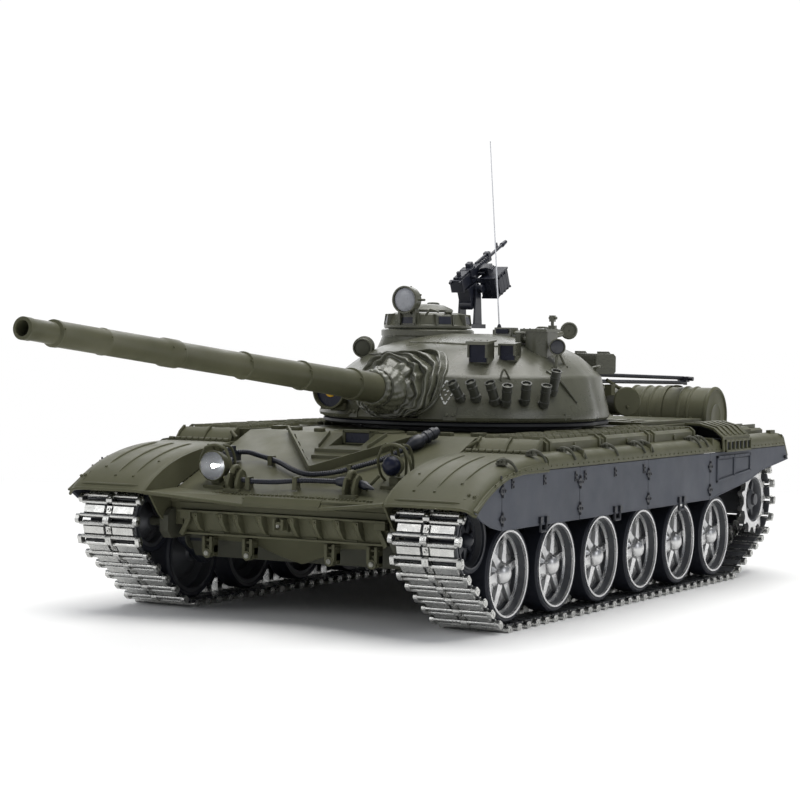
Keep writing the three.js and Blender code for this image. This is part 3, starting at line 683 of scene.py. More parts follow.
def claw(y):
    """A spring latch across the fender's lip."""
    low = min(0.0, guard_height(y) - GUARD[0][1])
    path = smooth_path([(104.9, y, 83.1), (107, y + 0.6, 84.1), (109.4, y + 1.6, 83.7),
        (111.5, y + 2.8, 81.6), (112.7, y + 3.8, 78.8)], 4)
    humps = [box((104.6 + k * 1.5, 105.5 + k * 1.5), (y - 1.8, y + 1.6), (82.7, 84.0 + 0.2 * k))
        for k in range(3)]
    latch = merge(tube(path, [1.15] * 6 + [0.85] * 5 + [0.65] * (len(path) - 11), 8), *humps,
        box((104.3, 108.6), (y - 2.1, y + 2.1), (81.9, 82.9)))
    return moved(latch, z=low)


def guard_height(y):
    """The height of the mudguard's top at that y."""
    points = [guard_at(t)[0] for t in np.linspace(1, 0, 60)]
    return float(np.interp(y, [p[0] for p in points], [p[1] for p in points]))


def grille_panel():
    x0, x1 = 111.6, 112.7
    frame_bars = [box((x0, x1), (178.6, 231.6), (71.6, 73)),
        box((x0, x1), (178.6, 180), (58.5, 73))]
    low = [(178.6, 58.2), (231.6, 62.4), (231.6, 63.8), (178.6, 59.6)]
    frame_bars.append(prism(low, "x", x0, x1))
    for y, z in ((204.5, 60.8), (230.2, 62.8)):
        frame_bars.append(box((x0, x1), (y, y + 1.4), (z, 73)))
    panes = [prism([(a, z0), (b, z1), (b, 70.8), (a, 70.8)], "x", 111.6, 112.15)
        for a, b, z0, z1 in ((181.6, 203, 60.8, 62.2), (207.5, 228.8, 62.8, 64.2))]
    studs = [rivet((112.6, y, 72.3), (1, 0, 0), 0.4, 0.4) for y in np.arange(181, 231, 8)]
    return merge(*frame_bars, *panes, *studs)


for word, side in SIDES:
    fittings = [diamond_clip(y, z) for y in SKIRT_JOINTS[1:-1] for z in (67.6, 54.7)]
    fittings += [bolt_plate(y, 70.6) for y in (-79.5, -45, -9.5, 1.2, 38, 75.2)]
    fittings += [square_loop(y) for y in (-46, 41, 127)]
    fittings.append(rod((112, 290.5, 68.4), (113.3, 290.5, 68.4), 1.1, 10))
    seams = [box((111.0, 111.6), (y - 0.5, y + 0.5), (50.2, 74.5)) for y in SKIRT_JOINTS[1:-1]]
    piece(f"skirt_panels_{word}", "hull", [(on_side(merge(skirt_panels(), grille_panel()), side),
        SKIRT), (on_side(merge(*fittings, *seams), side), BLACK)], "skirt_rubber",
        [f"skirt_{word}"], bevel=0.15)


# ---- fenders and mudguards ------------------------------------------------------------------

GLACIS_FRONT, GLACIS_LOW, GLACIS_SLOPE = -98.5, 58.8, 0.4


def glacis_z(y):
    """The height of the front plate at that y."""
    return GLACIS_LOW + GLACIS_SLOPE * (y - GLACIS_FRONT)


def on_plate(x, y, height):
    return (x, y, glacis_z(y) + height)


# (y, z) of the three points of the curve along the mudguard
GUARD = ((-40, 82), (-95, 82.4), (-119.4, 61))


def guard_at(t):
    """A point of the mudguard's side curve and its outward normal, from the hinge to the front."""
    p = [np.array(q, float) for q in GUARD]
    point = (1 - t) ** 2 * p[0] + 2 * t * (1 - t) * p[1] + t * t * p[2]
    d = unit(2 * (1 - t) * (p[1] - p[0]) + 2 * t * (p[2] - p[1]))
    return point, np.array([d[1], -d[0]])


# (x, drop below the crown) across the mudguard
GUARD_SECTION = ((66.4, 0.7), (68, 0.15), (73, 0), (80, 0), (87, 0), (94, 0), (100, 0.05),
    (104, 0.15), (107, 0.6), (109.2, 1.5), (110.9, 3.2), (111.8, 5.6))


def guard_point(t, x, lift=0.0):
    point, normal = guard_at(t)
    drop = float(np.interp(x, [c[0] for c in GUARD_SECTION], [c[1] for c in GUARD_SECTION]))
    y, z = point + normal * (lift - drop)
    return (x, y, z)


def mudguard():
    ts = np.linspace(0, 1, 29)
    outer = [[guard_point(t, x) for x, _ in GUARD_SECTION] for t in ts]
    inner = [[guard_point(t, min(x, 110.6), -1.3) for x, _ in GUARD_SECTION] for t in ts]
    parts = [slab(outer, inner)]
    for x, end in ((77.5, 0.79), (88, 0.79), (98.5, 0.68)):
        parts.append(tube([guard_point(t, x, -0.05) for t in np.linspace(0.2, end, 20)],
            [0.3] + [0.75] * 17 + [0.5, 0.2], 8))
        parts.append(rivet(guard_point(end + 0.05, x, -0.1), guard_normal(end), 0.75, 0.8))
    parts.append(rivet(guard_point(0.62, 72.5, -0.1), guard_normal(0.62), 0.7, 0.7))
    parts.append(tube([guard_point(0.945, x, 0.0) for x in np.linspace(70.5, 104, 12)],
        [0.2] + [0.7] * 10 + [0.2], 8))
    parts.append(tube([guard_point(0.995, x, -0.5) for x in np.linspace(66.6, 111.4, 16)], 0.8, 8))
    hinges = np.arange(68, 105, 3.7)
    parts += [rod((x, -41, 82.6), (x + 2.9, -41, 82.6), 1.15, 10) for x in hinges]
    parts += [rivet((x + 1.4, -44.6, 81.9), UP, 0.55, 0.5) for x in hinges]
    corners = ((0.8, 104.5), (0.8, 109.4), (0.9, 109.4), (0.9, 104.5))
    parts.append(loft([[guard_point(t, x, lift) for t, x in corners] for lift in (-0.6, 0.25)]))
    parts += [bolt(guard_point(0.85, x, 0.1), guard_normal(0.85), 0.9, 0.8) for x in (105.8, 108.4)]
    return merge(*parts)


def guard_normal(t):
    _, n = guard_at(t)
    return (0, n[0], n[1])


def guard_side():
    """The flange between the mudguard and the skirt, with its rivets and rolled edge."""
    ys = np.linspace(-116.4, -41, 34)
    rows_out, rows_in, edge = [], [], []
    for y in ys:
        low = along(SKIRT_TOP, y) - 0.4
        high = max(guard_height(y) - 3.6, low + 0.6)
        rows_out.append([(112.0, y, low), (112.1, y, (low + high) / 2), (111.5, y, high)])
        rows_in.append([(x - (1.1 if k == 0 else 1.3), *p)
            for k, (x, *p) in enumerate(rows_out[-1])])
        edge.append((112.0, y, low))
    parts = [slab(rows_out, rows_in), tube(edge, 0.62, 8)]
    for y in np.arange(-97, -44, 6.2):
        parts.append(rivet((112.05, y, along(SKIRT_TOP, y) + 1.1), (1, 0, 0), 0.5, 0.45))
    return merge(*parts)


def guard_wall():
    """The inner side wall, from the mudguard down to the front plate."""
    top = [tuple(guard_at(t)[0] - np.array([0, 0.8])) for t in np.linspace(0.15, 1, 16)]
    low = [(-119, 60), (-105, 59.4)] + [(y, glacis_z(y)) for y in (-92, -60, -50)]
    panel = [(-116.6, 60.6), (-92, 61.4), (-70, 60), (-70, 40), (-80, 38), (-90, 39), (-100, 43),
        (-108, 50)]
    return merge(prism(top + low, "x", 65.4, 66.7), prism(panel, "x", 64.3, 65.3),
        box((57.6, 65), (-97, -92), (44, 59.6)))


def fender_shelf():
    section = [(65.6, 80), (65.6, 82), (104, 82), (104, 83), (108.6, 82.3), (111.1, 80.9),
        (112, 79.4), (112, 75.3), (110.8, 75.3), (110.8, 78.6), (108, 79.9)]
    parts = [prism(section, "y", -41, 289.5)]
    for y in np.arange(-38, 288, 6.15):
        parts.append(rivet((112, y, 76.8), (1, 0, 0), 0.5, 0.45, 6))
    for y in (-2, 83, 171):
        parts.append(box((104.5, 112.3), (y, y + 1.1), (79.2, 83.1)))
    return merge(*parts)


def brick_tops(y0, y1, z):
    """The chequered top of a side tank: staggered pads with raised rims."""
    def corners(x, y, inset, height):
        return [(a, b, height) for a, b in ((x + inset, y + inset), (x + 5.4 - inset, y + inset),
            (x + 5.4 - inset, y + 7.2 - inset), (x + inset, y + 7.2 - inset))]

    pads = []
    for row in range(5):
        x = 69.5 + row * 6.3
        y = y0 + 2.2 + (4.1 if row % 2 else 0)
        while y + 7.4 < y1 - 0.6:
            lift = 1.5 + rng.uniform(-0.12, 0.12)
            pads.append(loft([corners(x, y, 0, z - 0.2), corners(x, y, 0.7, z + lift),
                corners(x, y, 1.5, z + lift - 0.7)]))
            y += 8.2
    return merge(*pads)


TANKS, TANK_TOP = ((-27, 38), (39.2, 102), (103.2, 166)), 88.3


def side_tank(y0, y1):
    section = [(68, 81.5), (104, 81.5), (104, 86.9), (101.8, TANK_TOP), (68, TANK_TOP)]
    parts = [prism(section, "y", y0, y1)]
    for y in (y0 + 3.5, y1 - 3.5):
        strap = [(103.6, 81.6), (104.7, 81.6), (104.7, 87.6), (102.1, 89.6), (98, 89.6), (98, 88.6),
            (101.6, 88.6), (103.6, 87)]
        parts.append(prism(strap, "y", y - 0.8, y + 0.8))
    parts.append(rod((104, (y0 + y1) / 2, 84.8), (104.9, (y0 + y1) / 2, 84.8), 1.5, 12))
    return merge(*parts)


def fender_rear():
    """The stepped boxes behind the exhaust and the turned-down rear end."""
    parts = [prism([(68, 81.6), (101, 81.6), (101, 85.4), (99, 86.8), (68, 86.8)], "y", 244, 262),
        prism([(68, 81.6), (99.5, 81.6), (99.5, 84.2), (98, 85.4), (68, 85.4)], "y", 263, 286),
        box((104.6, 107.4), (278, 286), (82, 84.4)), box((70, 74), (262, 287), (84, 87.6))]
    parts += [box((a, a + 1.2), (245, 285), (85, 87.6)) for a in (78, 86, 94)]
    parts.append(prism([(286, 82), (289.6, 80), (297.2, 69.2), (296.2, 68.6), (288.6, 79),
        (286, 80.6)], "x", 66, 111.8))
    return merge(*parts)


def front_box():
    """The low slanted box just behind the mudguard's hinge."""
    side_view = [(-37, 81.8), (-33.5, 85.6), (-29, 88.4), (-27.6, 88.4), (-27.6, 81.8)]
    lid = prism(side_view, "x", 70, 102.5)
    ribs = [prism([(-38, 81.8), (-34.3, 86.4), (-30, 89.3), (-29.4, 89.3), (-29.4, 87), (-33, 84.6),
        (-36.4, 81.8)], "x", x, x + 1.1) for x in (69.4, 86, 102.2)]
    return merge(lid, *ribs, rod((66.5, -36, 84), (71, -34, 87), 1.0, 8))


for word, side in SIDES:
    body = merge(mudguard(), guard_side(), guard_wall(), fender_shelf(), fender_rear(), front_box(),
        *[side_tank(*span) for span in TANKS])
    tops = merge(*[brick_tops(*span, TANK_TOP) for span in TANKS])
    claws = [claw(y) for y in (36, 71, 82, 149, 160)]
    if side > 0:
        claws += [moved(claw(-79), x=-0.6), claw(-49), claw(-15.5), claw(-3)]
    piece(f"fender_body_{word}", "hull", [(on_side(merge(body, tops), side), OLIVE),
        (on_side(merge(*claws), side), DARK_OLIVE)], "hull_olive", [f"fender_{word}"], bevel=0.3,
        segments=2)


# ---- exhaust, engine deck and drums ---------------------------------------------------------

def exhaust():
    """The louvred hood over the left fender: an open shell facing forward, its throat lined black
    as painted shade inside the hood.
    """
    outer = [(91, 82.1), (91, 90.3), (99.4, 90.3), (107.6, 88.2), (113.4, 83.4), (114, 75.4)]
    inner = [(113.2, 75.4), (112.6, 83), (107, 87.4), (99.2, 89.4), (92, 89.4), (92, 82.1)]
    parts = [prism(outer + inner, "y", 184, 226),
        prism([(91, 82.1)] + outer[1:5] + [(113.4, 82.1)], "y", 224.6, 227)]
    ridge = [(94, 89.9), (99, 89.9), (107, 87.9), (112, 83.8), (112.7, 84.6), (107.8, 89.1),
        (99.4, 91.3), (94, 91.3)]
    parts += [prism(ridge, "y", y, y + 3.8) for y in np.arange(189, 222, 7.6)]
    lip = [(90.6, 82.1), (90.6, 90.9), (99.6, 90.9), (108, 88.7), (113.9, 83.7), (114.3, 76),
        (113.4, 76), (112.9, 83.2), (107.2, 87.6), (99.2, 89.6), (91.8, 89.6), (91.8, 82.1)]
    parts.append(prism(lip, "y", 183, 185.4))
    parts += [box((113.6, 115), (186, 226), (75, 76.2)),
        box((113.2, 114.8), (186, 226), (80.6, 82))]
    parts += [box((113.6, 115), (y, y + 1.3), (75, 82)) for y in np.arange(186, 227, 6.4)]
    # the black liner, floor and inner plate: painted shade inside the hood
    liner = [(92.1, 82.2), (92.1, 89.3), (99.2, 89.3), (106.9, 87.3), (112.5, 82.9), (113.1, 75.6),
        (112.6, 75.6), (111.9, 82.6), (106.5, 86.7), (99, 88.7), (92.7, 88.7), (92.7, 82.2)]
    shaded_throat = [prism(liner, "y", 185.6, 224), box((92.2, 112.4), (183.6, 200), (82.15, 82.6)),
        prism([(92.2, 82.2), (92.2, 89.2), (99.2, 89.2), (106.8, 87.2), (112.4, 82.2)], "y", 199,
        224), box((113.3, 113.9), (186.4, 225.6), (75.6, 81.4))]
    return merge(*parts), merge(*shaded_throat)


hood, mouth = exhaust()
piece("exhaust_louvres", "hull", [(hood, OLIVE), (mouth, BLACK)], "hull_olive", ["exhaust_hood"],
    bevel=0.3, segments=2)


def engine_cover():
    parts = [box((-63, 63), (186.2, 196), (88.2, 90)), box((-63, 63), (277, 280), (88.2, 90)),
        box((-63, -60), (196, 277), (88.2, 90)), box((60, 63), (196, 277), (88.2, 90)),
        box((-1.6, 1.6), (196, 277), (88.2, 90.2))]
    for a, b in ((-60, -1.6), (1.6, 60)):
        for y in np.arange(226, 274, 5.2):
            slat = [(y, 88.3), (y + 1, 88.3), (y + 3.6, 90), (y + 2.6, 90)]
            parts.append(prism(slat, "x", a, b))
        parts.append(box((a, b), (196, 224.6), (88.2, 89.6)))
        for x in np.arange(a + 6, b - 4, 9.5):
            parts.append(box((x, x + 5.4), (200, 221), (89.4, 90.3)))
    parts += [bolt((x, y, 90), UP, 1.1, 0.7) for x in (-56, -30, 30, 56) for y in (191, 278.4)]
    parts += [rod((x, 203, 90.2), (x, 203, 91.6), 3.6, 20) for x in (-46, 14)]
    return merge(*parts)


# the black sheet on the deck under the slats is painted shade below them
piece("engine_cover", "hull", [(engine_cover(), OLIVE),
    (box((-62, 62), (188, 278), (88.05, 88.5)), BLACK)], "hull_olive", ["engine_deck"], bevel=0.25)

DRUM_Y, DRUM_Z, DRUM_R = 300.0, 90.3, 17.9


def drum():
    profile = [(0, 11.2), (DRUM_R - 3, 11.2), (DRUM_R - 3, 12.4), (DRUM_R - 1, 12.4),
        (DRUM_R - 0.4, 11.2)]
    at = 11.8
    for b in (12.2, 21, 27, 46, 52, 63.6):
        profile += [(DRUM_R, max(at, b - 1.3)), (DRUM_R + 0.75, b - 0.45),
            (DRUM_R + 0.75, b + 0.45), (DRUM_R, b + 1.3)]
        at = b + 1.3
    profile += [(DRUM_R - 0.4, 65), (DRUM_R - 1.2, 65), (DRUM_R - 1.6, 64), (9, 64), (8, 64.5),
        (7, 64), (0, 64)]
    strap = lathe([(DRUM_R + 0.3, 32.2), (DRUM_R + 1.0, 32.4), (DRUM_R + 1.0, 35.6),
        (DRUM_R + 0.3, 35.8)], (0, DRUM_Y, DRUM_Z), (1, 0, 0), 48, loop=True)
    cradle = [prism([(279.5, 82), (284, 82), (290, 73), (300, 71.4), (300, 70), (288, 71),
        (279.5, 76)], "x", b - 1.5, b + 1.5) for b in (24, 49)]
    cap = rod((38, DRUM_Y + 3, DRUM_Z + 17), (38, DRUM_Y + 3.4, DRUM_Z + 18.4), 3, 16)
    return merge(lathe(profile, (0, DRUM_Y, DRUM_Z), (1, 0, 0), 72), strap, *cradle, cap)


for word, side in SIDES:
    piece(f"drum_{word}", "hull", [(on_side(drum(), side), OLIVE)], "hull_olive",
        [f"fuel_drum_{word}"], bevel=0.2)


# ---- hull: front plate, deck, tub and dozer blade -------------------------------------------

def carve(mesh, tool, name):
    """The mesh with a part cut out of it."""
    base = bpy.data.objects.new(name + "_base", mesh)
    knife = bpy.data.objects.new(name + "_knife", make_mesh(name + "_knife", [(tool, OLIVE)]))
    for obj in (base, knife):
        bpy.context.scene.collection.objects.link(obj)
    mod = base.modifiers.new("cut", "BOOLEAN")
    mod.operation, mod.solver, mod.object = "DIFFERENCE", "EXACT", knife
    bpy.context.view_layer.update()
    depsgraph = bpy.context.evaluated_depsgraph_get()
    done = bpy.data.meshes.new_from_object(base.evaluated_get(depsgraph))
    done.name = name
    for obj in (base, knife):
        bpy.data.objects.remove(obj)
    done.shade_smooth()
    done.set_sharp_from_angle(angle=radians(SHARP))
    return done


DECK_Z = 88.0
GLACIS_TOP = GLACIS_FRONT + (DECK_Z - GLACIS_LOW) / GLACIS_SLOPE
hull_shell = prism([(GLACIS_FRONT, 55.3), (280.5, 55.3), (280.5, 86), (278.5, DECK_Z),
    (GLACIS_TOP, DECK_Z), (GLACIS_FRONT, GLACIS_LOW)], "x", -65, 65)
notch = loft([[on_plate(-9, -41, 0.2), on_plate(9, -41, 0.2), (8.6, -23, 82.4), (-8.6, -23, 82.4)],
    [(-9, -41, 92), (9, -41, 92), (8.6, -23, 92), (-8.6, -23, 92)]])
ring_hole = rod((0, 98, 80), (0, 98, 95), 61, 64)
shell_mesh = carve(make_mesh("hull_raw", [(hull_shell, OLIVE)]), merge(notch, ring_hole),
    "hull_shell")
place("hull_top", shell_mesh, "hull", "hull_olive", ["upper_hull"], bevel=0.35, segments=2)


def splash_board():
    parts = []
    for side in (1, -1):
        front, back = np.array([0, -73.7]), np.array([41.2 * side, -26.8])
        across = left_of(unit(back - front)) * side
        rings = []
        for t in np.linspace(0, 1, 7):
            x, y = front + (back - front) * t
            height = 5.3 - 1.8 * t
            rings.append([(*(np.array([x, y]) + across * a), glacis_z(y) + h)
                for a, h in ((0, -0.6), (1.1, -0.6), (0.5, height), (-0.7, height))])
        parts.append(loft(rings))
        for t in (0.12, 0.3, 0.48, 0.66, 0.84):
            x, y = front + (back - front) * t + across * 0.8
            x2, y2 = np.array([x, y]) + across * 2.6
            parts.append(prism([(y, glacis_z(y) - 0.3), (y2, glacis_z(y2) - 0.3),
                (y, glacis_z(y) + 2.6)], "x", (x + x2) / 2 - 0.4, (x + x2) / 2 + 0.4))
    return merge(*parts)


def plate_rib(x0, y0, x1, y1, width=1.2, height=1.6):
    """A low rib on the front plate."""
    a, b = np.array([x0, y0]), np.array([x1, y1])
    side = left_of(unit(b - a)) * width / 2
    low = [a - side, b - side, b + side, a + side]
    high = [a - side * 0.5, b - side * 0.5, b + side * 0.5, a + side * 0.5]
    return loft([[(p[0], p[1], glacis_z(p[1]) - 0.3) for p in low],
        [(p[0], p[1], glacis_z(p[1]) + height) for p in high]])


def front_plate():
    parts = [splash_board(), plate_rib(-13.4, -46.9, 13.4, -46.9), plate_rib(-11, -54, 11, -54),
        plate_rib(-16.5, -27, -13.8, -42, 1.0, 1.8), plate_rib(16.5, -27, 13.8, -42, 1.0, 1.8)]
    lip = [(-96.6, 59.9), (-98.3, 59.5), (-100.8, 56.4), (-100.8, 54.6), (-96.6, 54.6)]
    parts.append(prism(lip, "x", -21.3, 21.3))
    for side in (1, -1):
        top = [(21.3, -100.4, 55.9), (66.2, -119, 61.1), on_plate(66.2, -92, 0.2),
            (21.3, -96.8, 59.6)]
        wing = loft([[(x, y + 0.4, z - 1.7) for x, y, z in top], top])
        edge = tube([(21.3, -100.2, 55.3), (44, -109.8, 58), (66.2, -119, 60.6)], 0.9, 8)
        parts.append(on_side(merge(wing, edge), side))
    for k in range(46):
        x = -48 + k * 2.1 + rng.uniform(-0.2, 0.2)
        y = -95.6 + rng.uniform(-0.25, 0.25) - 0.02 * abs(x)
        parts.append(box((x, x + 1.25), (y, y + 1.5), (glacis_z(y) - 0.3, glacis_z(y) + 0.9)))
    hatch = lathe([(13.5, 88), (13.5, 88.7), (12.4, 89.1), (4, 89.3), (0, 89.4)], (0, -6, 0), UP,
        48)
    parts += [hatch, box((-2.4, 2.4), (6.5, 11), (88, 89.2)),
        box((-7, 7), (-22, -20.6), (88, 89.4))]
    for x, y, w, d in ((-26, -21, 5, 3.6), (-44, -16, 7, 5), (27, -20.5, 4.4, 3), (43, -15, 8, 4),
            (58, -8, 5, 9), (-58, -8, 5, 9)):
        parts.append(box((x - w / 2, x + w / 2), (y - d / 2, y + d / 2), (88, 89.8)))
    return merge(*parts)


def tow_hook(x):
    """A lug on the front plate with its hook and spring keeper."""
    y, z = -92.6, glacis_z(-92.6)
    cheek = [(y - 0.6, z - 0.6), (y - 1.4, z + 3.4), (y + 0.8, z + 8.6), (y + 3.6, z + 10.6),
        (y + 6.2, z + 9.6), (y + 8.4, z + 6), (y + 12.5, z + 4.6)]
    hook_path = smooth_path([(x, y + 3, z + 3.4), (x, y + 5.6, z + 8.2), (x, y + 4.2, z + 11.4),
        (x, y + 0.8, z + 11.2), (x, y - 0.8, z + 8.4)], 4)
    return merge(prism(cheek, "x", x - 3.4, x - 1.7), prism(cheek, "x", x + 1.7, x + 3.4),
        box((x - 4.6, x + 4.6), (y - 1.6, y + 1), (z - 0.8, z + 1.2)), tube(hook_path, 1.35, 10),
        rod((x - 4, y + 4.4, z + 6.4), (x + 4, y + 4.4, z + 6.4), 1.0, 10),
        bolt((x - 3.3, y + 4.4, z + 6.4), (-1, 0, 0), 1.5, 0.8),
        bolt((x + 3.3, y + 4.4, z + 6.4), (1, 0, 0), 1.5, 0.8))


def scraper_y(z):
    """The front face of the lower nose plate at that height."""
    return -97 + (52 - z) * 0.68


def upright(outline, face_y, thick):
    """A plate of that outline in x and z, whose front face leans as face_y(z) says."""
    return loft([[(x, face_y(z) + back, z) for x, z in outline] for back in (0, thick)])


SHACKLES = (-46, -23, 23, 46)


def lower_nose():
    outline = [(-57.5, 52), (57.5, 52), (57.5, 43), (46, 36.6), (25, 36), (12.5, 30.6), (0, 26.6),
        (-12.5, 30.6), (-25, 36), (-46, 36.6), (-57.5, 43)]
    plate = upright(outline, scraper_y, 3)
    parts = [plate, box((-58, 58), (-98.6, -92), (52, 55.2))]
    blade = [(-57, 50.6), (57, 50.6), (57, 40.4), (-57, 40.4)]
    parts.append(upright(blade, lambda z: -98.4 + (50.6 - z) * 0.3, 1.4))
    parts.append(box((-57.5, 57.5), (-101.4, -97.4), (50.6, 51.7)))
    parts.append(box((-57, 57), (-97.6, -93.4), (39.6, 40.7)))
    for x in (-46.8, -32.2, -23.5, -10.2, 7.7, 20.1, 32.7, 42.8):
        tooth = [(-97, 50.8), (-103, 50.6), (-102.4, 47), (-98.6, 42.2), (-94.8, 40.8)]
        root = [(-97, 50.8), (-98.9, 50.7), (-98.7, 49.9), (-98, 48.9), (-97, 48.6)]
        parts.append(loft([[(x + 1.2, y, z) for y, z in tooth], [(x - 0.6, y, z) for y, z in tooth],
            [(x - 5.2, y, z) for y, z in root]]))
        foot = [(x - 0.6, 41), (x + 0.6, 41), (x + 5.8, 40.4), (x + 4.6, 42.4), (x + 0.6, 49.6),
            (x - 0.6, 49.6)]
        parts.append(upright(foot, lambda z: -98.5 + (50.6 - z) * 0.3, 1.3))
        parts.append(rivet((x, -102.8, 49.4), (0, -1, 0), 0.8, 0.6))
    for x in (-54, 54):
        parts.append(box((x - 3, x + 3), (-100.4, -96), (47.2, 51.2)))
        parts.append(turned(box((x - 1.2, x + 1.2), (-99.6, -97.6), (38.6, 50)), "Y",
            28 if x < 0 else -28, (x, -98, 45)))
    parts += [box((-2.9, -1.6), (-102.6, -97), (44.4, 49.6)),
        box((1.6, 2.9), (-102.6, -97), (44.4, 49.6)),
        rod((-2.9, -101, 47.4), (2.9, -101, 47.4), 1.1, 10),
        box((-3.4, 3.4), (-98.8, -96), (43.6, 50))]
    for x in (-38, -12, 14, 36):
        parts.append(box((x - 4, x + 4), (-96.2, -93.6), (40.5, 41.6)))
    y = -91
    for x in SHACKLES:
        parts += [box((x - 2.9, x - 1.2), (y - 2.2, y + 3.6), (30.6, 38.6)),
            box((x + 1.2, x + 2.9), (y - 2.2, y + 3.6), (30.6, 38.6)),
            box((x - 2.9, x + 2.9), (y - 0.4, y + 3.6), (29, 34.4)),
            rod((x, y - 2.4, 30.4), (x, y + 2, 30.4), 2.4, 16),
            box((x - 3.4, x + 3.4), (y - 1, y + 2), (36.2, 37.4))]
    pins = [rod((x, -94.1, 30.4), (x, -92, 30.4), 1.3, 12) for x in SHACKLES]
    pins.append(rod((0, -102.9, 46.4), (0, -101.6, 46.4), 0.9, 10))
    return merge(*parts), merge(*pins)


def tub():
    """The lower hull behind the nose, with its bump stops, brackets and hatches."""
    side_view = [(-93, 55), (-78, 30), (-76, 27), (256, 27), (278.5, 48), (280, 55)]
    parts = [prism(side_view, "x", -64, 64)]
    for side in (1, -1):
        ear = [(-104, 41), (-100.6, 37.4), (-84, 37.4), (-84, 52), (-100.6, 52), (-104, 48.6)]
        bits = [prism(ear, "x", 61.5, 66.5), rod((64, *IDLER), (96.5, *IDLER), 2.2, 16),
            rod((64, *SPROCKET), (68.5, *SPROCKET), 13, 32)]
        for number in range(1, 7):
            y = wheel_y(number) - ARM_BACK
            bits += [lathe([(6.4, 63.4), (6.4, 64.3), (3.4, 64.4), (3.4, 63.4)],
                (0, y, WHEEL_Z + ARM_RISE), (1, 0, 0), 20, loop=True),
                box((63.8, 66.6), (y + 5, y + 11), (46, 50.4))]
        bits += [box((63.8, 65.2), (y, y + 1.6), (40, 54.6)) for y in np.arange(-60, 262, 53)]
        parts.append(on_side(merge(*bits), side))
    parts += [rod((x, y, 26.4), (x, y, 27.4), 6.4, 28) for x, y in ((-28, 40), (28, 40), (0, 205))]
    return merge(*parts)


nose_parts, nose_pins = lower_nose()
piece("hull_tub", "hull", [(nose_parts, OLIVE), (tub(), DARK_OLIVE), (nose_pins, WORN)],
    "hull_olive", ["lower_hull"], bevel=0.25)
piece("front_plate_fittings", "hull", [(merge(front_plate(), tow_hook(-32), tow_hook(33)), OLIVE)],
    "hull_olive", bevel=0.22)
window = box((-6.8, 6.8), (-27.6, -26.4), (83.4, 88.4))
visor = merge(box((-8.2, 8.2), (-27, -21), (82.4, 89.6)),
    box((-8.4, -6.9), (-28.4, -26), (82.6, 89.6)), box((6.9, 8.4), (-28.4, -26), (82.6, 89.6)),
    box((-8.4, 8.4), (-28.4, -21), (88.5, 89.9)), box((-8.4, 8.4), (-28.4, -26), (82.6, 83.4)))
piece("driver_periscope", "hull", [(visor, OLIVE), (window, GLASS_DARK)], "hull_olive", bevel=0.2)


# ---- hoses and headlights -------------------------------------------------------------------

long_route = smooth_path([on_plate(*p) for p in ((-50, -64, 5.5), (-44, -61, 4.6),
    (-38, -60.5, 3.2), (-30, -62.5, 2.6), (-21, -66.5, 2.6), (-10, -73, 2.6), (0, -76.8, 2.6),
    (8, -76, 2.6), (16, -72.5, 2.6), (25, -64.5, 2.6), (31.5, -58, 2.6), (36.5, -48, 2.8))], 8)
cross_route = smooth_path([on_plate(*p) for p in ((-50, -66, 4.4), (-44, -76, 4.2), (-36, -84, 4.2),
    (-28, -89.5, 4.2), (-11, -90, 4.2), (4, -87, 4.2), (22, -86.3, 4.2))], 8)


def turned_between(start, end, profile):
    """A turned part whose profile runs from 0 at start to 1 at end."""
    start, end = np.asarray(start, float), np.asarray(end, float)
    length = float(np.linalg.norm(end - start))
    return lathe([(r, t * length) for r, t in profile], start, end - start, 20)


connector = turned_between(on_plate(36.5, -48, 2.8), on_plate(46.3, -29.6, 4.6),
    [(1.3, 0), (1.5, 0.12), (2.2, 0.2), (3.3, 0.32), (3.6, 0.42), (3.3, 0.52), (2.6, 0.56),
    (2.6, 0.64), (3.2, 0.66), (3.2, 0.72), (2.7, 0.74), (2.7, 0.8), (3.1, 0.82), (3.1, 0.9),
    (2.4, 0.92), (2.2, 1)])
boot = turned_between(on_plate(22, -86.3, 4.2), on_plate(31, -86.6, 4.2),
    [(1.2, 0), (1.9, 0.1), (2.4, 0.35), (2.6, 0.6), (2.2, 0.9), (1.6, 1)])
tail = turned_between(on_plate(35, -87, 4.2), on_plate(45.5, -91, 3.8),
    [(1.6, 0), (2.1, 0.15), (2.1, 0.5), (1.4, 0.62), (0.9, 0.85), (0.3, 1)])
junction = merge(box((-53.5, -47.5), (-69, -61), (glacis_z(-61) + 0.3, glacis_z(-61) + 5)),
    rod((-50.5, -65, 78), (-50.5, -65, 81.5), 2.2, 14))
hoses = merge(ribbed_hose(long_route, 1.3), ribbed_hose(cross_route, 1.25))
clips = []
for x, y, h in ((1, -87.6, 4.2), (-24, -90, 4.2), (-28, -63.6, 2.6), (20, -69, 2.6)):
    z = glacis_z(y)
    clips += [box((x - 1.1, x + 1.1), (y + a, y + b), (z + low, z + high))
        for a, b, low, high in ((-2.1, -1.5, -0.3, h + 1.4), (1.5, 2.1, -0.3, h + 1.4),
        (-2.1, 2.1, h + 1.3, h + 1.9))]
piece("front_hoses", "hull", [(merge(hoses, connector, boot, tail, junction), HOSE),
    (merge(*clips), OLIVE)], "hose_black", ["glacis_hoses"], bevel=0)


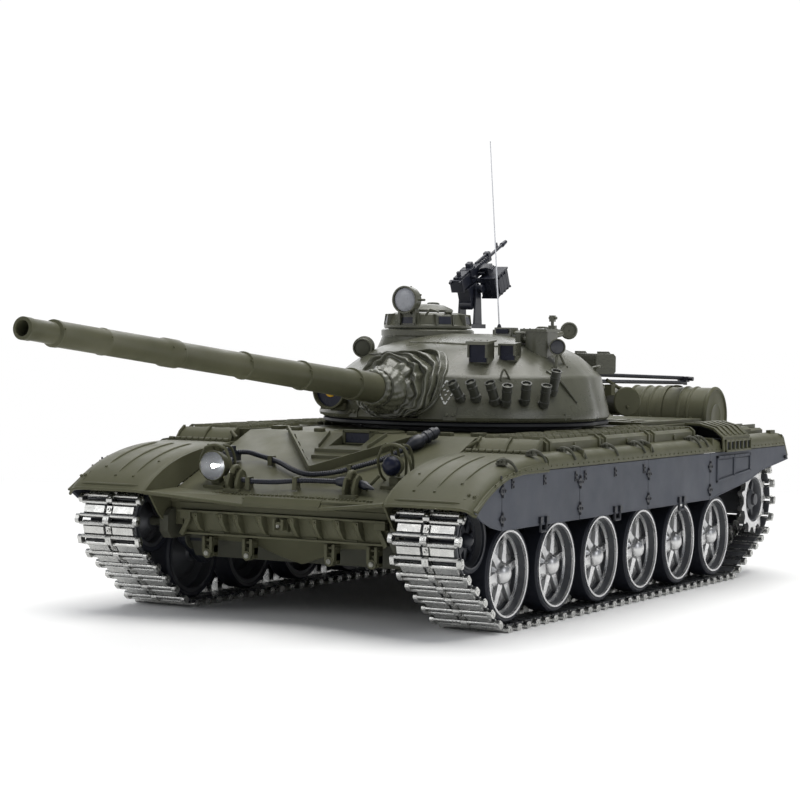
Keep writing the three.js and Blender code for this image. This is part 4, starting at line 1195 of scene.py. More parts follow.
def headlight(side):
    x, y, z = (50.0, -79.5, 76.2) if side > 0 else (44.6, -87.5, 72.8)
    bulb = 0.7 if side > 0 else 1.0

    def lamp_part(profile, segments=40, **options):
        return lathe([(r * bulb, h * bulb) for r, h in profile], (x, y, z), (0, 1, 0), segments,
            **options)

    shell = lamp_part([(0, 5.5), (3.6, 5.2), (5.8, 3.6), (6.9, 0.6), (7.2, -2), (7.5, -2.6),
        (7.5, -3.8), (6.8, -3.9), (6.8, -1.2), (6.2, 0.8), (0, 2.6)])
    bars = []
    for offset in (-5.6, -1.9, 1.9, 5.6):
        arc = [on_plate(x + offset, y + 7.5, -0.5), (x + offset, y + 8, z + 2),
            (x + offset * 0.9, y + 5, z + 8.6), (x + offset * 0.8, y - 1, z + 10)]
        bars.append(tube(smooth_path(arc, 4), 0.7, 8))
    arc = [(x - 5.8, y - 1.5, z + 8.6), (x, y - 1.8, z + 10.2), (x + 5.8, y - 1.5, z + 8.6)]
    bars.append(tube(smooth_path(arc, 4), 0.8, 8))
    for s in (-1, 1):
        arc = [(x + s * 5.6, y - 1.5, z + 8.8), (x + s * 8.4, y - 1, z + 3),
            (x + s * 8.6, y + 2, z - 4), on_plate(x + s * 8, y + 6, -0.4)]
        bars.append(tube(smooth_path(arc, 4), 0.7, 8))
    sole = [(y + a, glacis_z(y + a) + h) for a, h in ((-3, -0.5), (9, -0.5), (9, 1.4), (-3, 1.4))]
    foot = merge(box((x - 2.4, x + 2.4), (y - 1, y + 4), (glacis_z(y) - 0.6, z - 5.5)),
        prism(sole, "x", x - 6, x + 6))
    strut = tube([on_plate(x - 12, y - 6, 0.4), (x - 6.4, y - 3, z - 4.8)], 0.8, 8)
    bowl = lamp_part([(6.75, -3.3), (5.6, -0.6), (3.6, 1.2), (0, 2), (0, 2.4), (3.9, 1.7),
        (6.1, -0.4), (6.8, -1.2)], loop=True)
    lens = lamp_part([(6.9, -3.4), (6.7, -5), (5.7, -7), (3.6, -8.6), (1.8, -9.2), (0, -9.4)])
    led = lamp_part([(0, -4.2), (0.7, -4), (1.1, -3.2), (1.1, -2.4), (0.7, -1.8), (0.5, 1.5),
        (0, 1.6)], 20)
    return [on_side(p, side) for p in (merge(shell, foot), merge(*bars, strut), bowl, lens, led)]


for word, side in SIDES:
    shell, bars, bowl, lens, led = headlight(side)
    lit = side < 0
    bowl_finish, lens_finish = (REFLECTOR, CLEAR) if lit else (GLASS_DARK, GLASS_DARK)
    piece(f"headlight_body_{word}", "hull",
        [(shell, OLIVE), (bars, OLIVE), (bowl, bowl_finish), (led, CORE if lit else bowl_finish)],
        "hull_olive", [f"headlight_{word}"], bevel=0.15)
    piece(f"headlight_lens_{word}", "hull", [(lens, lens_finish)], "lamp_glass", bevel=0)


# ---- turret shell ---------------------------------------------------------------------------

RING_Y = 98.0
TRUNNION = np.array([0, 38.0, 106.0])
GUN_ANGLE = radians(5.5)
GUN_AXIS = np.array([0, -cos(GUN_ANGLE), sin(GUN_ANGLE)])
# (height, radius) of the turret's wall
SHELL = ((93.6, 73.6), (95, 74.9), (97, 75), (101, 74.1), (106, 72.8), (111, 71.6), (115.6, 70.6),
    (117.1, 70.1), (117.9, 69.1), (119.6, 67.2), (122, 64.8), (124.6, 61.8), (127.4, 58.2),
    (129.6, 54.4), (131.6, 49.6), (133.4, 44), (135.2, 37), (136.8, 29.5), (138.1, 21), (139, 11))


def shell_radius(degrees, z):
    """The turret wall's distance from its centre; 0 degrees is straight ahead, + to the left."""
    radius = float(np.interp(z, [s[0] for s in SHELL], [s[1] for s in SHELL]))
    facing = max(0.0, cos(radians(degrees)))
    return radius + 11 * facing ** 0.6 * min(1.0, max(0.0, (128 - z) / 32))


def round_turret(degrees, radius, z):
    a = radians(degrees)
    return np.array([radius * sin(a), RING_Y - radius * cos(a), z])


def on_turret(degrees, z, out=0.0):
    return round_turret(degrees, shell_radius(degrees, z) + out, z)


def wall_y(x, z, out=0.0):
    """The y of the turret's front wall at that x and height."""
    degrees = 0.0
    for _ in range(12):
        degrees = math.degrees(math.asin(min(0.99,
            max(-0.99, x / (shell_radius(degrees, z) + out)))))
    return float(on_turret(degrees, z, out)[1])


def roof_z(x, y):
    """The height of the turret's roof at that point."""
    degrees = math.degrees(math.atan2(x, RING_Y - y))
    reach = math.hypot(x, y - RING_Y)
    low, high = 110.0, 139.0
    for _ in range(24):
        mid = (low + high) / 2
        low, high = (mid, high) if shell_radius(degrees, mid) > reach else (low, mid)
    return low


def on_roof(points, lift):
    return [(x, y, roof_z(x, y) + lift) for x, y in points]


def turret_casting():
    rings = []
    for z, _ in SHELL:
        ring_points = []
        for degrees in np.arange(-180, 180, 3):
            wobble = 0.25 * noise.noise(Vector((degrees * 0.05, z * 0.06, 2.0)))
            ring_points.append(on_turret(degrees, z, wobble if 96 < z < 135 else 0))
        rings.append(ring_points)
    return loft(rings)


casting = make_mesh("turret_raw", [(turret_casting(), TURRET)])
casting = carve(casting, box((-12.2, 12.2), (-10, 53), (95.2, 122.5)), "turret_casting")
place("turret_casting", casting, "turret", "turret_olive", ["turret_shell"])


def plate_on_wall(d0, d1, z0, z1, thick, steps=10):
    """A plate that follows the turret wall."""
    return slab(*[[[on_turret(d, z, out) for z in (z0, (z0 + z1) / 2, z1)]
        for d in np.linspace(d0, d1, steps)] for out in (thick, -0.8)])


def outward(degrees, tilt=0.25):
    a = radians(degrees)
    return (sin(a), -cos(a), tilt)


def weld(points, radius=0.55):
    path = spaced(smooth_path(points, 6), 0.9)
    path = [p + np.array([rng.uniform(-0.15, 0.15), rng.uniform(-0.15, 0.15), 0]) for p in path]
    return tube(path, [radius * rng.uniform(0.75, 1.2) for _ in path], 6)


def turret_fittings():
    parts = []
    for side in (1, -1):
        parts.append(plate_on_wall(side * 17.2, side * 21.6, 94.4, 101.2, 1.1, 4))
        parts.append(plate_on_wall(side * 21.6, side * 66, 94.4, 97.2, 1.0, 16))
        parts += [bolt(on_turret(side * d, 97.2, 1.0), outward(side * d), 0.95, 0.7)
            for d in (18.4, 20.6)]
        parts.append(rod(on_turret(side * 63, 94.6, 1.2), on_turret(side * 63, 98.2, 1.0), 0.5, 8))
    parts.append(weld(on_roof(((-19.5, 61.5), (-12, 57), (0, 55.4), (10, 55.6), (18, 57.4),
        (30, 62), (36, 66)), 0.1)))
    parts.append(weld(on_roof(((36, 70), (44, 84), (47, 98), (45, 112), (38, 126), (22, 138),
        (2, 145), (-20, 145)), 0.1)))
    parts.append(tube(smooth_path(on_roof(((-18, 40), (-26, 45), (-34, 50), (-41, 56)), 0.5), 5),
        0.8, 8))
    strap = [on_turret(61, 120, 0.4), on_turret(66, 114, 0.6), on_turret(70, 107, 0.5),
        on_turret(72, 103.5, 0.3)]
    parts.append(tube(smooth_path(strap, 4), [0.9] * 8 + [0.6] * 4 + [0.3], 8))
    hook = [(46.2, 40.4, 114), (46.4, 40, 117.6), (47.6, 41, 120.8), (48.8, 42.6, 118),
        (50, 44.4, 114.4)]
    parts.append(tube(smooth_path([(a, b - 0.6, c) for a, b, c in hook], 4), 0.6, 8))
    for degrees in (118, -118, 150, -150):
        eye = [on_turret(degrees + a, z, out)
            for a, z, out in ((-4, 121, -0.4), (-4, 122, 4.2), (4, 122, 4.2), (4, 121, -0.4))]
        parts.append(tube(smooth_path(eye, 4), 0.8, 8))
    for degrees in np.arange(-168, -30, 15):
        parts.append(rivet(on_turret(degrees, 96, 0.2), outward(degrees), 0.9, 0.7))
    parts.append(plate_on_wall(-24, -29, 104, 110, 0.6, 3))
    return merge(*parts)


def sight_box(x0, x1, y0, y1, top, bottom, flap):
    """A sight housing on the roof, open to the front."""
    shell = [(y0, bottom), (y0, top), (y1, top + 0.8), (y1, bottom)]
    parts = [prism(shell, "x", x0, x0 + 0.9), prism(shell, "x", x1 - 0.9, x1),
        prism([(y0 + 0.2, top - 0.9), (y0 + 0.2, top), (y1, top + 0.8), (y1, top - 0.2)], "x", x0,
        x1), box((x0, x1), (y0 + 2.4, y1), (bottom, top - 0.2)),
        box((x0, x1), (y0 + 2.4, y1), (bottom - 3, bottom + 1))]
    if flap:
        parts.append(prism([(y0 - 0.9, top - 1.2), (y0 - 0.3, top + 0.5), (y1 + 1, top + 1.5),
            (y1 + 1, top + 0.7)], "x", x0 - 0.9, x1 + 0.9))
        parts += [rivet(((x0 + x1) / 2 + k, (y0 + y1) / 2, top + 1), UP, 0.4, 0.4)
            for k in (-3.5, 0, 3.5)]
    return merge(*parts), box((x0 + 0.9, x1 - 0.9), (y0 + 1.3, y0 + 2.6), (bottom - 2.4, top - 0.8))


box1, pane1 = sight_box(-5.4, 5.4, -5.5, 5.5, 134.4, 126.6, True)
box2, pane2 = sight_box(-4.6, 4.6, -6, 5, 134, 127.8, False)
box1, pane1 = [moved(turned(p, "Z", 5), 31.8, 44.6) for p in (box1, pane1)]
box2, pane2 = [moved(turned(p, "Z", 8), 42.6, 57) for p in (box2, pane2)]


BALL = ((52, 110, 141.4), (0.45, -0.86, 0.1), 28)  # the ball lamp's place, axis and sides
FAR_LAMP = ((-47, 58.5, 130.5), (-0.35, 0.93, 0.1))


def sight_head():
    """The tall round-fronted sight with its lamp, on the left of the roof."""
    body = [(42.4, 76), (44.6, 74), (48.6, 73), (52.4, 74), (55, 76.4), (55, 89), (42.4, 89)]
    parts = [prism(body, "z", 125, 140.6),
        prism([(40.8, 72.4), (56.2, 72.4), (56.2, 90), (40.8, 90)], "z", 140.5, 142)]
    parts += [rivet((x, 74 + 4.8 * k, 142), UP, 0.5, 0.4) for x in (42.4, 54.8)
        for k in (0, 1.5, 3)]
    parts += [rod((38.6, 80, 136), (42.8, 80, 136), 1.7, 14),
        box((36.4, 39.4), (76, 86), (131, 139.5)), rod((50, 93, 134), (50, 93, 146.4), 0.9, 10),
        box((48.2, 52), (91.6, 94.4), (141.6, 144)), box((48.6, 51.4), (91.8, 94.2), (146, 149.4)),
        rod((48, 93, 148), (52.6, 93, 148), 0.8, 8),
        rod((52, 100, 139.6), (52, 92, 138.6), 1.5, 12)]
    ball = [(0.2, -8.6), (3.4, -7.6), (5.8, -5.2), (6.9, -1.8), (6.9, 1.2), (6.2, 2.4), (5.4, 2.4),
        (5.2, 1.2), (0, 1)]
    parts.append(lathe([(r * 0.68, t * 0.68) for r, t in ball], *BALL))
    return merge(*parts)


def round_lamp(centre, radius, depth, facing, feet):
    cup = lathe([(0, depth), (radius * 0.7, depth), (radius, depth * 0.4), (radius, -1.6),
        (radius * 0.86, -1.6), (radius * 0.84, -0.4), (0, -0.3)], centre, facing, 32)
    legs = [tube([f, (f[0], f[1], f[2] + 0.2), c], 0.75, 8) for f, c in feet]
    glass = lathe([(radius * 0.86, -0.35), (radius * 0.8, -0.9), (radius * 0.4, -1.3), (0, -1.4)],
        centre, facing, 32)
    return merge(cup, *legs), glass


small_cup, small_glass = round_lamp((60.5, 77, 132.6), 4.4, 4.6, (-0.45, 0.88, 0),
    [((62, 72, 120.6), (60.6, 77, 128.6)), ((62.4, 84, 122), (61, 79.4, 129)),
    ((62, 72, 121), (62.4, 84, 122))])
small_feet = merge(box((60.4, 63.6), (70.4, 73.6), (119.6, 122)),
    box((61, 64.4), (82.4, 85.4), (120.6, 122.6)))
far_cup, far_glass = round_lamp(FAR_LAMP[0], 5.2, 11, FAR_LAMP[1],
    [((-45, 62, 124), (-46, 61, 127)), ((-49, 63, 122.5), (-49, 62, 127))])
far_rings = merge(*[lathe([(5.1, t), (5.7, t + 0.5), (5.1, t + 1)], *FAR_LAMP, 28)
    for t in (0.6, 3.4, 6.2)])
hood = merge(prism([(98, 138), (98.8, 142.6), (107, 142.6), (109, 138)], "x", 12.6, 22.8),
    box((11.6, 13), (98.6, 108.6), (137.4, 141.4)),
    box((22.4, 23.8), (98.6, 108.6), (137.4, 141.4)))
panes = merge(pane1, pane2, box((14, 21.4), (97.6, 98.6), (139.4, 141.8)))
piece("turret_fittings", "turret", [(merge(turret_fittings(), box1, box2, sight_head(), small_cup,
    small_feet, far_cup, far_rings, hood), TURRET), (panes, GLASS_DARK), (small_glass, LENS_SMOKE),
    (far_glass, DARK_OLIVE), (lathe([(3.6, 0.7), (3.2, 0.4), (0, 0.3)], *BALL), DARK_OLIVE)],
    "turret_olive", bevel=0.2)


def ring_band():
    """The black band under the turret, which stands out further at the front."""
    verts, faces = lathe([(60, 90.6), (73.4, 90.6), (74.6, 91.3), (74.6, 92.8), (73.4, 93.5),
        (60, 93.5)], (0, RING_Y, 0), UP, 96, loop=True)
    front = np.clip((RING_Y - verts[:, 1]) / 75, 0, 1)[:, None] ** 0.6
    spread = (verts - [0, RING_Y, 0]) * [1, 1, 0]
    reach = np.linalg.norm(spread, axis=1, keepdims=True)
    return verts + spread / np.maximum(reach, 1) * 9.6 * front * (reach > 65), faces


race = lathe([(54.2, 80.2), (60.2, 80.2), (60.2, 91), (54.2, 91)], (0, RING_Y, 0), UP, 72,
    loop=True)
piece("turret_race", "turret", [(ring_band(), BLACK), (race, BLACK)], "black_plastic",
    ["turret_ring"], bevel=0.2)


# ---- smoke launchers and mark ---------------------------------------------------------------

# each tube's foot, and how far its mouth lies to the right and up of it in the photo
PHOTO_RIGHT, TO_CAMERA = np.array([0.877, 0.481, 0]), np.array([0.481, -0.877, 0])
TUBES = ((31, 24.6, 105.2, -4.7, 7.3), (38, 28.2, 105.4, -3.5, 7.7), (46.3, 32.8, 103.9, -3.5, 8.9),
    (50.9, 35.6, 103.2, 0.1, 8.2), (57.7, 43.4, 104, -0.2, 8.6), (64.4, 51.5, 102.5, 0.15, 9.0),
    (65.4, 59.4, 108.7, 0.63, 10.3))


def launchers():
    parts, dark = [], []
    for x, y, z, dr, dz in TUBES:
        base = np.array([x, y, z])
        out = unit(base - np.array([0, RING_Y, z]))
        base = base + out * 1.6
        mouth = base + dr * PHOTO_RIGHT + 2.4 * TO_CAMERA + out * 2.2 + [0, 0, dz + 1.5]
        axis = mouth - base
        length = float(np.linalg.norm(axis))
        axis = axis / length
        profile = [(2.0, -1.2), (2.5, -0.6), (2.55, 1.2), (2.85, 1.4), (2.85, 2.2), (2.5, 2.5),
            (2.5, length * 0.62), (2.8, length * 0.64), (2.8, length * 0.72), (2.55, length * 0.74),
            (2.55, length - 0.9), (2.9, length - 0.7), (2.9, length), (2.2, length),
            (2.1, length - 1.2), (0, length - 1.4)]
        parts.append(lathe(profile, base, axis, 24))
        dark.append(lathe([(1.5, length - 1.3), (1.2, length - 0.7), (0, length - 0.6)], base, axis,
            16))
        foot = base - out * 3.6
        parts.append(rod(foot, base + axis * 1.5, 1.5, 12))
        side = np.cross(axis, out)
        parts.append(rod(base - out * 1.4 - side * 3.1 + axis * 1.2,
            base - out * 1.4 + side * 3.1 + axis * 1.2, 0.9, 8))
    return merge(*parts), merge(*dark)


tubes, dots = launchers()
piece("smoke_tubes", "turret", [(tubes, TUBE), (dots, DARK_OLIVE)], "turret_olive",
    ["smoke_launchers"], bevel=0)


def generic_mark():
    """A plain white dashed diamond, on the wall beside the canvas."""
    cx, cz, half, wide = 23.2, 108.6, 6.2, 3.5
    corners = [(cx - wide, cz), (cx, cz + half), (cx + wide, cz), (cx, cz - half)]
    parts = []

    def stroke(a, b, width):
        a, b = np.array(a, float), np.array(b, float)
        n = left_of(unit(b - a)) * width / 2
        q = [p - [0.2 * (p[1] - cz), 0] for p in (a - n, b - n, b + n, a + n)]
        back = [(x, wall_y(x, z, 0.0) + 0.5, z) for x, z in q]
        face = [(x, wall_y(x, z, 0.32), z) for x, z in q]
        parts.append(loft([back, face]))

    for a, b in zip(corners, corners[1:] + corners[:1]):
        for t0, t1 in ((0.03, 0.28), (0.38, 0.62), (0.72, 0.97)):
            stroke(np.array(a) + (np.array(b) - a) * t0, np.array(a) + (np.array(b) - a) * t1, 0.6)
    for dx, dz in ((-0.9, 1), (0.9, 0.4), (0, -1.5)):
        stroke((cx + dx - 0.45, cz + dz), (cx + dx + 0.45, cz + dz + 0.5), 0.6)
    return merge(*parts)


piece("turret_mark", "turret", [(generic_mark(), MARK)], "mark_white", bevel=0)


# ---- gun and canvas boot --------------------------------------------------------------------

def reach(y):
    """How far in front of the trunnion the gun passes that y."""
    return (TRUNNION[1] - y) / cos(GUN_ANGLE)


def gun_tube():
    profile = [(0, -12), (6.8, -12), (7.6, 0), (7.9, 40), (7.9, 47), (7.7, 48.5),
        (7.6, reach(-36.2) - 1)]
    steps = ((-36.2, 7.6, 7.15, 1.6), (-84, 6.75, 6.45, 1.6), (-135.6, 6.1, 5.8, 1.5))
    for y, before, after, width in steps:
        a = reach(y)
        profile += [(before, a - width), (before + 0.45, a - width + 0.2), (before + 0.45, a - 0.2),
            (before, a), (after, a + 0.3)]
    profile += [(r, reach(y)) for r, y in ((5.7, -188), (6.0, -188.6), (6.35, -190), (6.35, -199.4),
        (6.0, -200.6), (5.75, -202), (5.6, -242.6), (5.85, -243.2), (5.85, -244.4), (5.5, -245),
        (5.45, -274.5), (5.75, -275.2), (5.75, -277.4), (4.6, -278.2), (4.5, -292.4), (4.75, -293),
        (4.75, -297.1), (4.4, -297.32), (3.3, -297.32), (3.2, -296), (3.2, -262), (0, -262))]
    parts = [lathe(profile, TRUNNION, GUN_AXIS, 56)]
    for y in (-36.9, -84.6, -136.2, -243.8, -276.2, -190.4, -199.2):
        centre = TRUNNION + GUN_AXIS * reach(y)
        radius = 7.5 if y > -80 else 7.0 if y > -120 else 6.3 if y > -230 else 5.7
        for a in (200, 20):
            off = np.array([cos(radians(a)), 0, sin(radians(a))]) * radius
            parts.append(rivet(centre + off, off, 0.6, 0.6))
    return merge(*parts)


piece("gun_tube", "gun", [(gun_tube(), OLIVE)], "gun_olive", ["gun_barrel"], bevel=0)

BOOT_STEPS, BOOT_SIDES, BOOT_LOW, COLLAR_AT = 15, 160, 96.0, 37.5
GUN_UP = np.array([0, sin(GUN_ANGLE), cos(GUN_ANGLE)])


def round_gun(distance, phi, radius):
    """A point round the gun's axis (0 is left, 90 is up)."""
    return TRUNNION + GUN_AXIS * distance + radius * (cos(phi) * np.array([1, 0, 0]) + sin(phi)
        * GUN_UP)


def boot_rim(phi):
    """The canvas boot's edge on the turret, for an angle round the gun (0 is left, 90 is up)."""
    c, s = cos(phi), sin(phi)
    power = 0.72
    x = (20 if c > 0 else 18.6) * math.copysign(abs(c) ** power, c)
    z = 111.6 + (16.6 if s > 0 else 15.6) * math.copysign(abs(s) ** power, s)
    if s > 0.2:
        z += 1.4 * math.exp(-((x - 12) / 5) ** 2) * s
    return np.array([x, wall_y(x, z, 0.3), z])


def boot_point(phi, t, lift=0.0):
    """Canvas between the turret (t = 0) and the gun's collar (t = 1)."""
    rim, collar = boot_rim(phi), round_gun(COLLAR_AT, phi, 10.6)
    along_line = rim + (collar - rim) * t
    centre = np.array([0, along_line[1], 109.0 + 1.5 * t])
    out = unit(along_line - centre)
    ahead = np.array([0, -1.0, 0.1])
    swell = sin(pi * min(1, t * 1.04) ** 0.8)
    fold = (1.3 * sin(2 * phi + 5.2 * t + 0.6) + 1.5 * sin(6 * phi - 6 * t + 1) * t + 1.1
        * sin(13 * phi + 5 * t) * t + 1.8 * noise.noise(Vector((3 * cos(phi), 3 * sin(phi),
        3.4 * t))))
    roll = 0.0
    for at, size, sway in ((0.12, 2.2, 0.02), (0.3, 2.0, 0.03), (0.48, 1.8, 0.04),
            (0.66, 1.5, 0.04)):
        here = at + sway * sin(3 * phi + 9 * at)
        roll += size * (math.exp(-((t - here) / 0.05) ** 2) - 0.5
            * math.exp(-((t - here - 0.09) / 0.04) ** 2))
    fade = min(1, t / 0.1) * min(1, (1 - t) / 0.08)
    point = along_line + out * (swell * 3.2 + fold * fade * 0.75 + roll * fade * 0.5
        + lift) + ahead * (swell * 4.2 + roll * fade * 1.9)
    point[2] = max(point[2], BOOT_LOW + 0.3 * (point[2] - BOOT_LOW))
    return point


def canvas_boot():
    phis = np.arange(BOOT_SIDES) * 2 * pi / BOOT_SIDES
    rings = [[boot_point(phi, t) for phi in phis] for t in np.linspace(0, 1, BOOT_STEPS * 3)]
    rings.append([round_gun(COLLAR_AT, phi, 8.6) for phi in phis])
    rings += [[boot_point(phi, t, -0.9) + [0, 0.9, 0] for phi in phis]
        for t in np.linspace(1, 0, BOOT_STEPS)]
    return loft(rings, loop=True)


def boot_rings():
    """The rolled hem on the turret and the gathered sleeve with its band on the gun."""
    phis = np.arange(96) * 2 * pi / 96
    hem = [boot_rim(phi) + [0, -0.8, 0] for phi in phis]
    hem.append(hem[0])
    rows = []
    profile = ((34.5, 9.6, 0.2), (36.5, 11.6, 0.5), (38.5, 12.6, 0.6), (40.5, 12.3, 0.9),
        (42.5, 11.6, 1.0), (44.5, 10.7, 1.1), (46.3, 9.5, 0.9), (47.2, 8.9, 0.3), (49, 9.6, 0.7),
        (51, 9.4, 0.6), (52, 8.2, 0.1), (52, 7.7, 0), (34.5, 7.7, 0))
    for distance, radius, wave in profile:
        row = []
        for i in range(BOOT_SIDES):
            phi = 2 * pi * i / BOOT_SIDES
            twist = phi + (distance - 34) * 0.055
            lump = noise.noise(Vector((4 * cos(twist), 4 * sin(twist), distance * 0.15)))
            row.append(round_gun(distance, phi,
                radius + wave * (0.55 * sin(17 * twist) + 0.5 * lump)))
        rows.append(row)
    sleeve = loft(rows, loop=True)
    clamp = lathe([(9.2, 46.4), (9.9, 46.5), (9.9, 48.1), (9.2, 48.2)], TRUNNION, GUN_AXIS, 48,
        loop=True)
    return tube(hem, 1.1, 8, cap=False), sleeve, clamp


hem, sleeve, clamp = boot_rings()
boot_mesh = make_mesh("canvas_boot", [(canvas_boot(), CANVAS)], angle=180)
boot = place("canvas_boot", boot_mesh, None, "canvas_boot", ["mantlet_cover"])
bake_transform(boot)
boot_hem = piece("canvas_hem", "turret", [(hem, CANVAS)], "canvas_boot", bevel=0, angle=60)
boot_sleeve = piece("canvas_sleeve", "gun", [(sleeve, CANVAS), (clamp, DARK_OLIVE)], "canvas_boot",
    bevel=0, angle=180)


# ---- searchlight, bin, snorkel and stowed boom ----------------------------------------------

LUNA = (-38.5, 12.0, 108.0)  # the searchlight's centre
luna_body = lathe([(0, 9), (4.6, 9), (5, 4.6), (7.2, 3.8), (9, 1.6), (9.5, -1.2), (9.5, -4),
    (8.5, -4.1), (8.4, -1.4), (0, -1)], LUNA, (0, 1, 0), 48)
luna_parts = merge(luna_body, box((-40.6, -36.4), (14, 26), (97.5, 103)),
    rod((-38.5, 16, 108), (-36, 28, 107), 3, 16), box((-45.6, -31.4), (12.4, 14.4), (98.2, 101.4)),
    rod((-48.2, 12, 108), (-46.8, 12, 108), 1.6, 12),
    tube(smooth_path([(-31, 16, 114), (-26, 17, 118), (-21, 20, 117), (-19, 26, 112)], 4), 1.1, 8))
luna_core = lathe([(3.4, -1.2), (3.2, -2), (1.8, -2.4), (1.7, -1.4), (0, -1.3)], LUNA, (0, 1, 0),
    24)
luna_glass = lathe([(8.5, -0.9), (8.5, -1.4), (0, -1.5)], LUNA, (0, 1, 0), 48)
piece("searchlight_lamp", "turret", [(luna_parts, OLIVE), (luna_glass, GLASS_DARK),
    (luna_core, AMBER)], "turret_olive", ["searchlight"], bevel=0.15)


def arc_box(d0, d1, inner, outer, z0, z1, steps=14):
    rings = []
    for d in np.linspace(d0, d1, steps):
        rings.append([round_turret(d, inner, z0), round_turret(d, outer - 1.2, z0),
            round_turret(d, outer, z0 + 1.4), round_turret(d, outer, z1 - 1.6),
            round_turret(d, outer - 1.4, z1), round_turret(d, inner, z1)])
    return loft(rings)


bin_parts = [arc_box(130.3, 162, 70.2, 81.6, 117.6, 129),
    arc_box(163, 197, 70.2, 81.8, 117.6, 129.6), arc_box(198, 229.7, 70.2, 81.6, 117.6, 129)]
for degrees in (137, 155, 170, 190, 205, 223):
    bin_parts.append(loft([[round_turret(degrees + s, r, z)
        for r, z in ((81.4, 119), (82.4, 119), (82.4, 128), (80.4, 130.2), (74, 130.2), (74, 129))]
        for s in (-0.8, 0.8)]))
bin_parts += [arc_box(a, b, 66, 71, 119, 121) for a, b in ((135, 141), (219, 225))]
piece("stowage_boxes", "turret", [(merge(*bin_parts), TURRET)], "turret_olive", ["stowage_bin"],
    bevel=0.35, segments=2)

SNORKEL, SNORKEL_END = np.array([66, 159.4, 102.5]), np.array([12, 211, 102.5])
s_axis = unit(SNORKEL_END - SNORKEL)
s_len = float(np.linalg.norm(SNORKEL_END - SNORKEL))
snorkel = lathe([(0, 0.3), (7.6, 0.3), (8.2, 0.8), (8.2, 2.2), (7.7, 2.6), (7.7, s_len - 3),
    (8.2, s_len - 2.6), (8.2, s_len - 0.4), (0, s_len)], SNORKEL, s_axis, 48)
s_bits = [lathe([(7.6, t), (8.35, t + 0.1), (8.35, t + 2.1), (7.6, t + 2.2)], SNORKEL, s_axis, 40,
    loop=True) for t in (14, 40, 62)]
s_in = np.array([-s_axis[1], s_axis[0], 0])
if np.dot(s_in, np.array([0, RING_Y, 0]) - SNORKEL * [1, 1, 0]) < 0:
    s_in = -s_in
for t in (10, 36, 58):
    foot = SNORKEL + s_axis * t + s_in * 7.4
    s_bits += [tube([foot + [0, 0, 5], foot + s_in * 7 + [0, 0, 9], foot + s_in * 7 + [0, 0, -4],
        foot + [0, 0, -5]], 0.9, 8)]
s_bits.append(rivet(SNORKEL - s_axis * 0.2 + [0, 0, -3], -s_axis, 0.9, 0.6))
s_bits += [tube([SNORKEL + s_axis * 4 + s_in * 3 + [0, 0, 7],
    SNORKEL + s_axis * 2 + s_in * 12 + [0, 0, 12]], 1.0, 8), box((57, 61), (148, 153), (106, 112))]
piece("snorkel_pipe", "turret", [(merge(snorkel, *s_bits), OLIVE)], "turret_olive",
    ["snorkel_tube"], bevel=0)
boom = merge(rod((22, 176, 117), (43.2, 299, 113.8), 1.15, 10),
    rod((40, 172, 113.2), (44.4, 299, 111), 1.15, 10),
    rod((39, 300.4, 113.4), (49, 300.4, 113.4), 1.3, 10),
    rod((44, 300, 109.6), (44, 300, 113.6), 1.2, 10), box((42, 46), (296, 302), (111.4, 114.8)))
boom_feet = merge(box((20, 24), (160, 178), (115, 118.6)),
    box((38, 42), (156, 174), (111.4, 114.8)))
piece("stowed_boom", "turret", [(boom, BLACK), (boom_feet, TURRET)], "gun_black", bevel=0)


# ---- cupola, hatches, roof machine gun and antenna ------------------------------------------

CUPOLA = cx, cy = (-32.0, 105.0)
LAMP_Y, LAMP_Z = 79, 157
seat = lathe([(12, 122), (31, 122), (29, 128), (26.4, 134), (25.2, 137), (25.8, 137.3),
    (25.8, 140.4), (24.6, 141.1), (12, 141.1)], (*CUPOLA, 0), UP, 64, loop=True)
piece("cupola_seat", "turret", [(seat, TURRET)], "turret_olive", bevel=0.3)
race = lathe([(14, 140.9), (22, 140.9), (22, 141.36), (14, 141.36)], (*CUPOLA, 0), UP, 48,
    loop=True)
piece("cupola_race", "turret", [(race, BLACK)], "turret_olive", bevel=0)
ring_body = lathe([(12.4, 141.4), (24, 141.4), (24.4, 142), (24.4, 143.2), (23, 143.6),
    (20.4, 149.2), (18.6, 150.2), (12.4, 150.2)], (*CUPOLA, 0), UP, 64, loop=True)


def periscope(degrees, half=4.2, tall=5.6):
    """A periscope hood on the cupola's slope and its dark window."""
    out = np.array(outward(degrees, 0))
    side = np.array([-out[1], out[0], 0])
    base = np.array([*CUPOLA, 143.2])

    def across(r, z, reach):
        return [base + out * r + side * x + [0, 0, z] for x in (-reach, reach)]

    outer = [across(23.4, 0, half), across(22.6, tall, half), across(16, tall + 0.6, half),
        across(16, 0, half)]
    shell = loft([[q[0] for q in outer], [q[1] for q in outer]])
    cheek = ((24, 0), (23.2, tall + 0.5), (18, tall + 0.9), (18, 0))
    cheeks = [loft([[across(r, z, half + wide)[k] for r, z in cheek] for wide in (0.3, 1.2)])
        for k in (0, 1)]
    pane = ((23.6, 0.9, 1), (23.6, 0.9, 0), (22.9, tall - 0.7, 0), (22.9, tall - 0.7, 1))
    window = loft([[across(r - deep, z, half - 0.5)[k] for r, z, k in pane] for deep in (0, 1.6)])
    return merge(shell, *cheeks), window


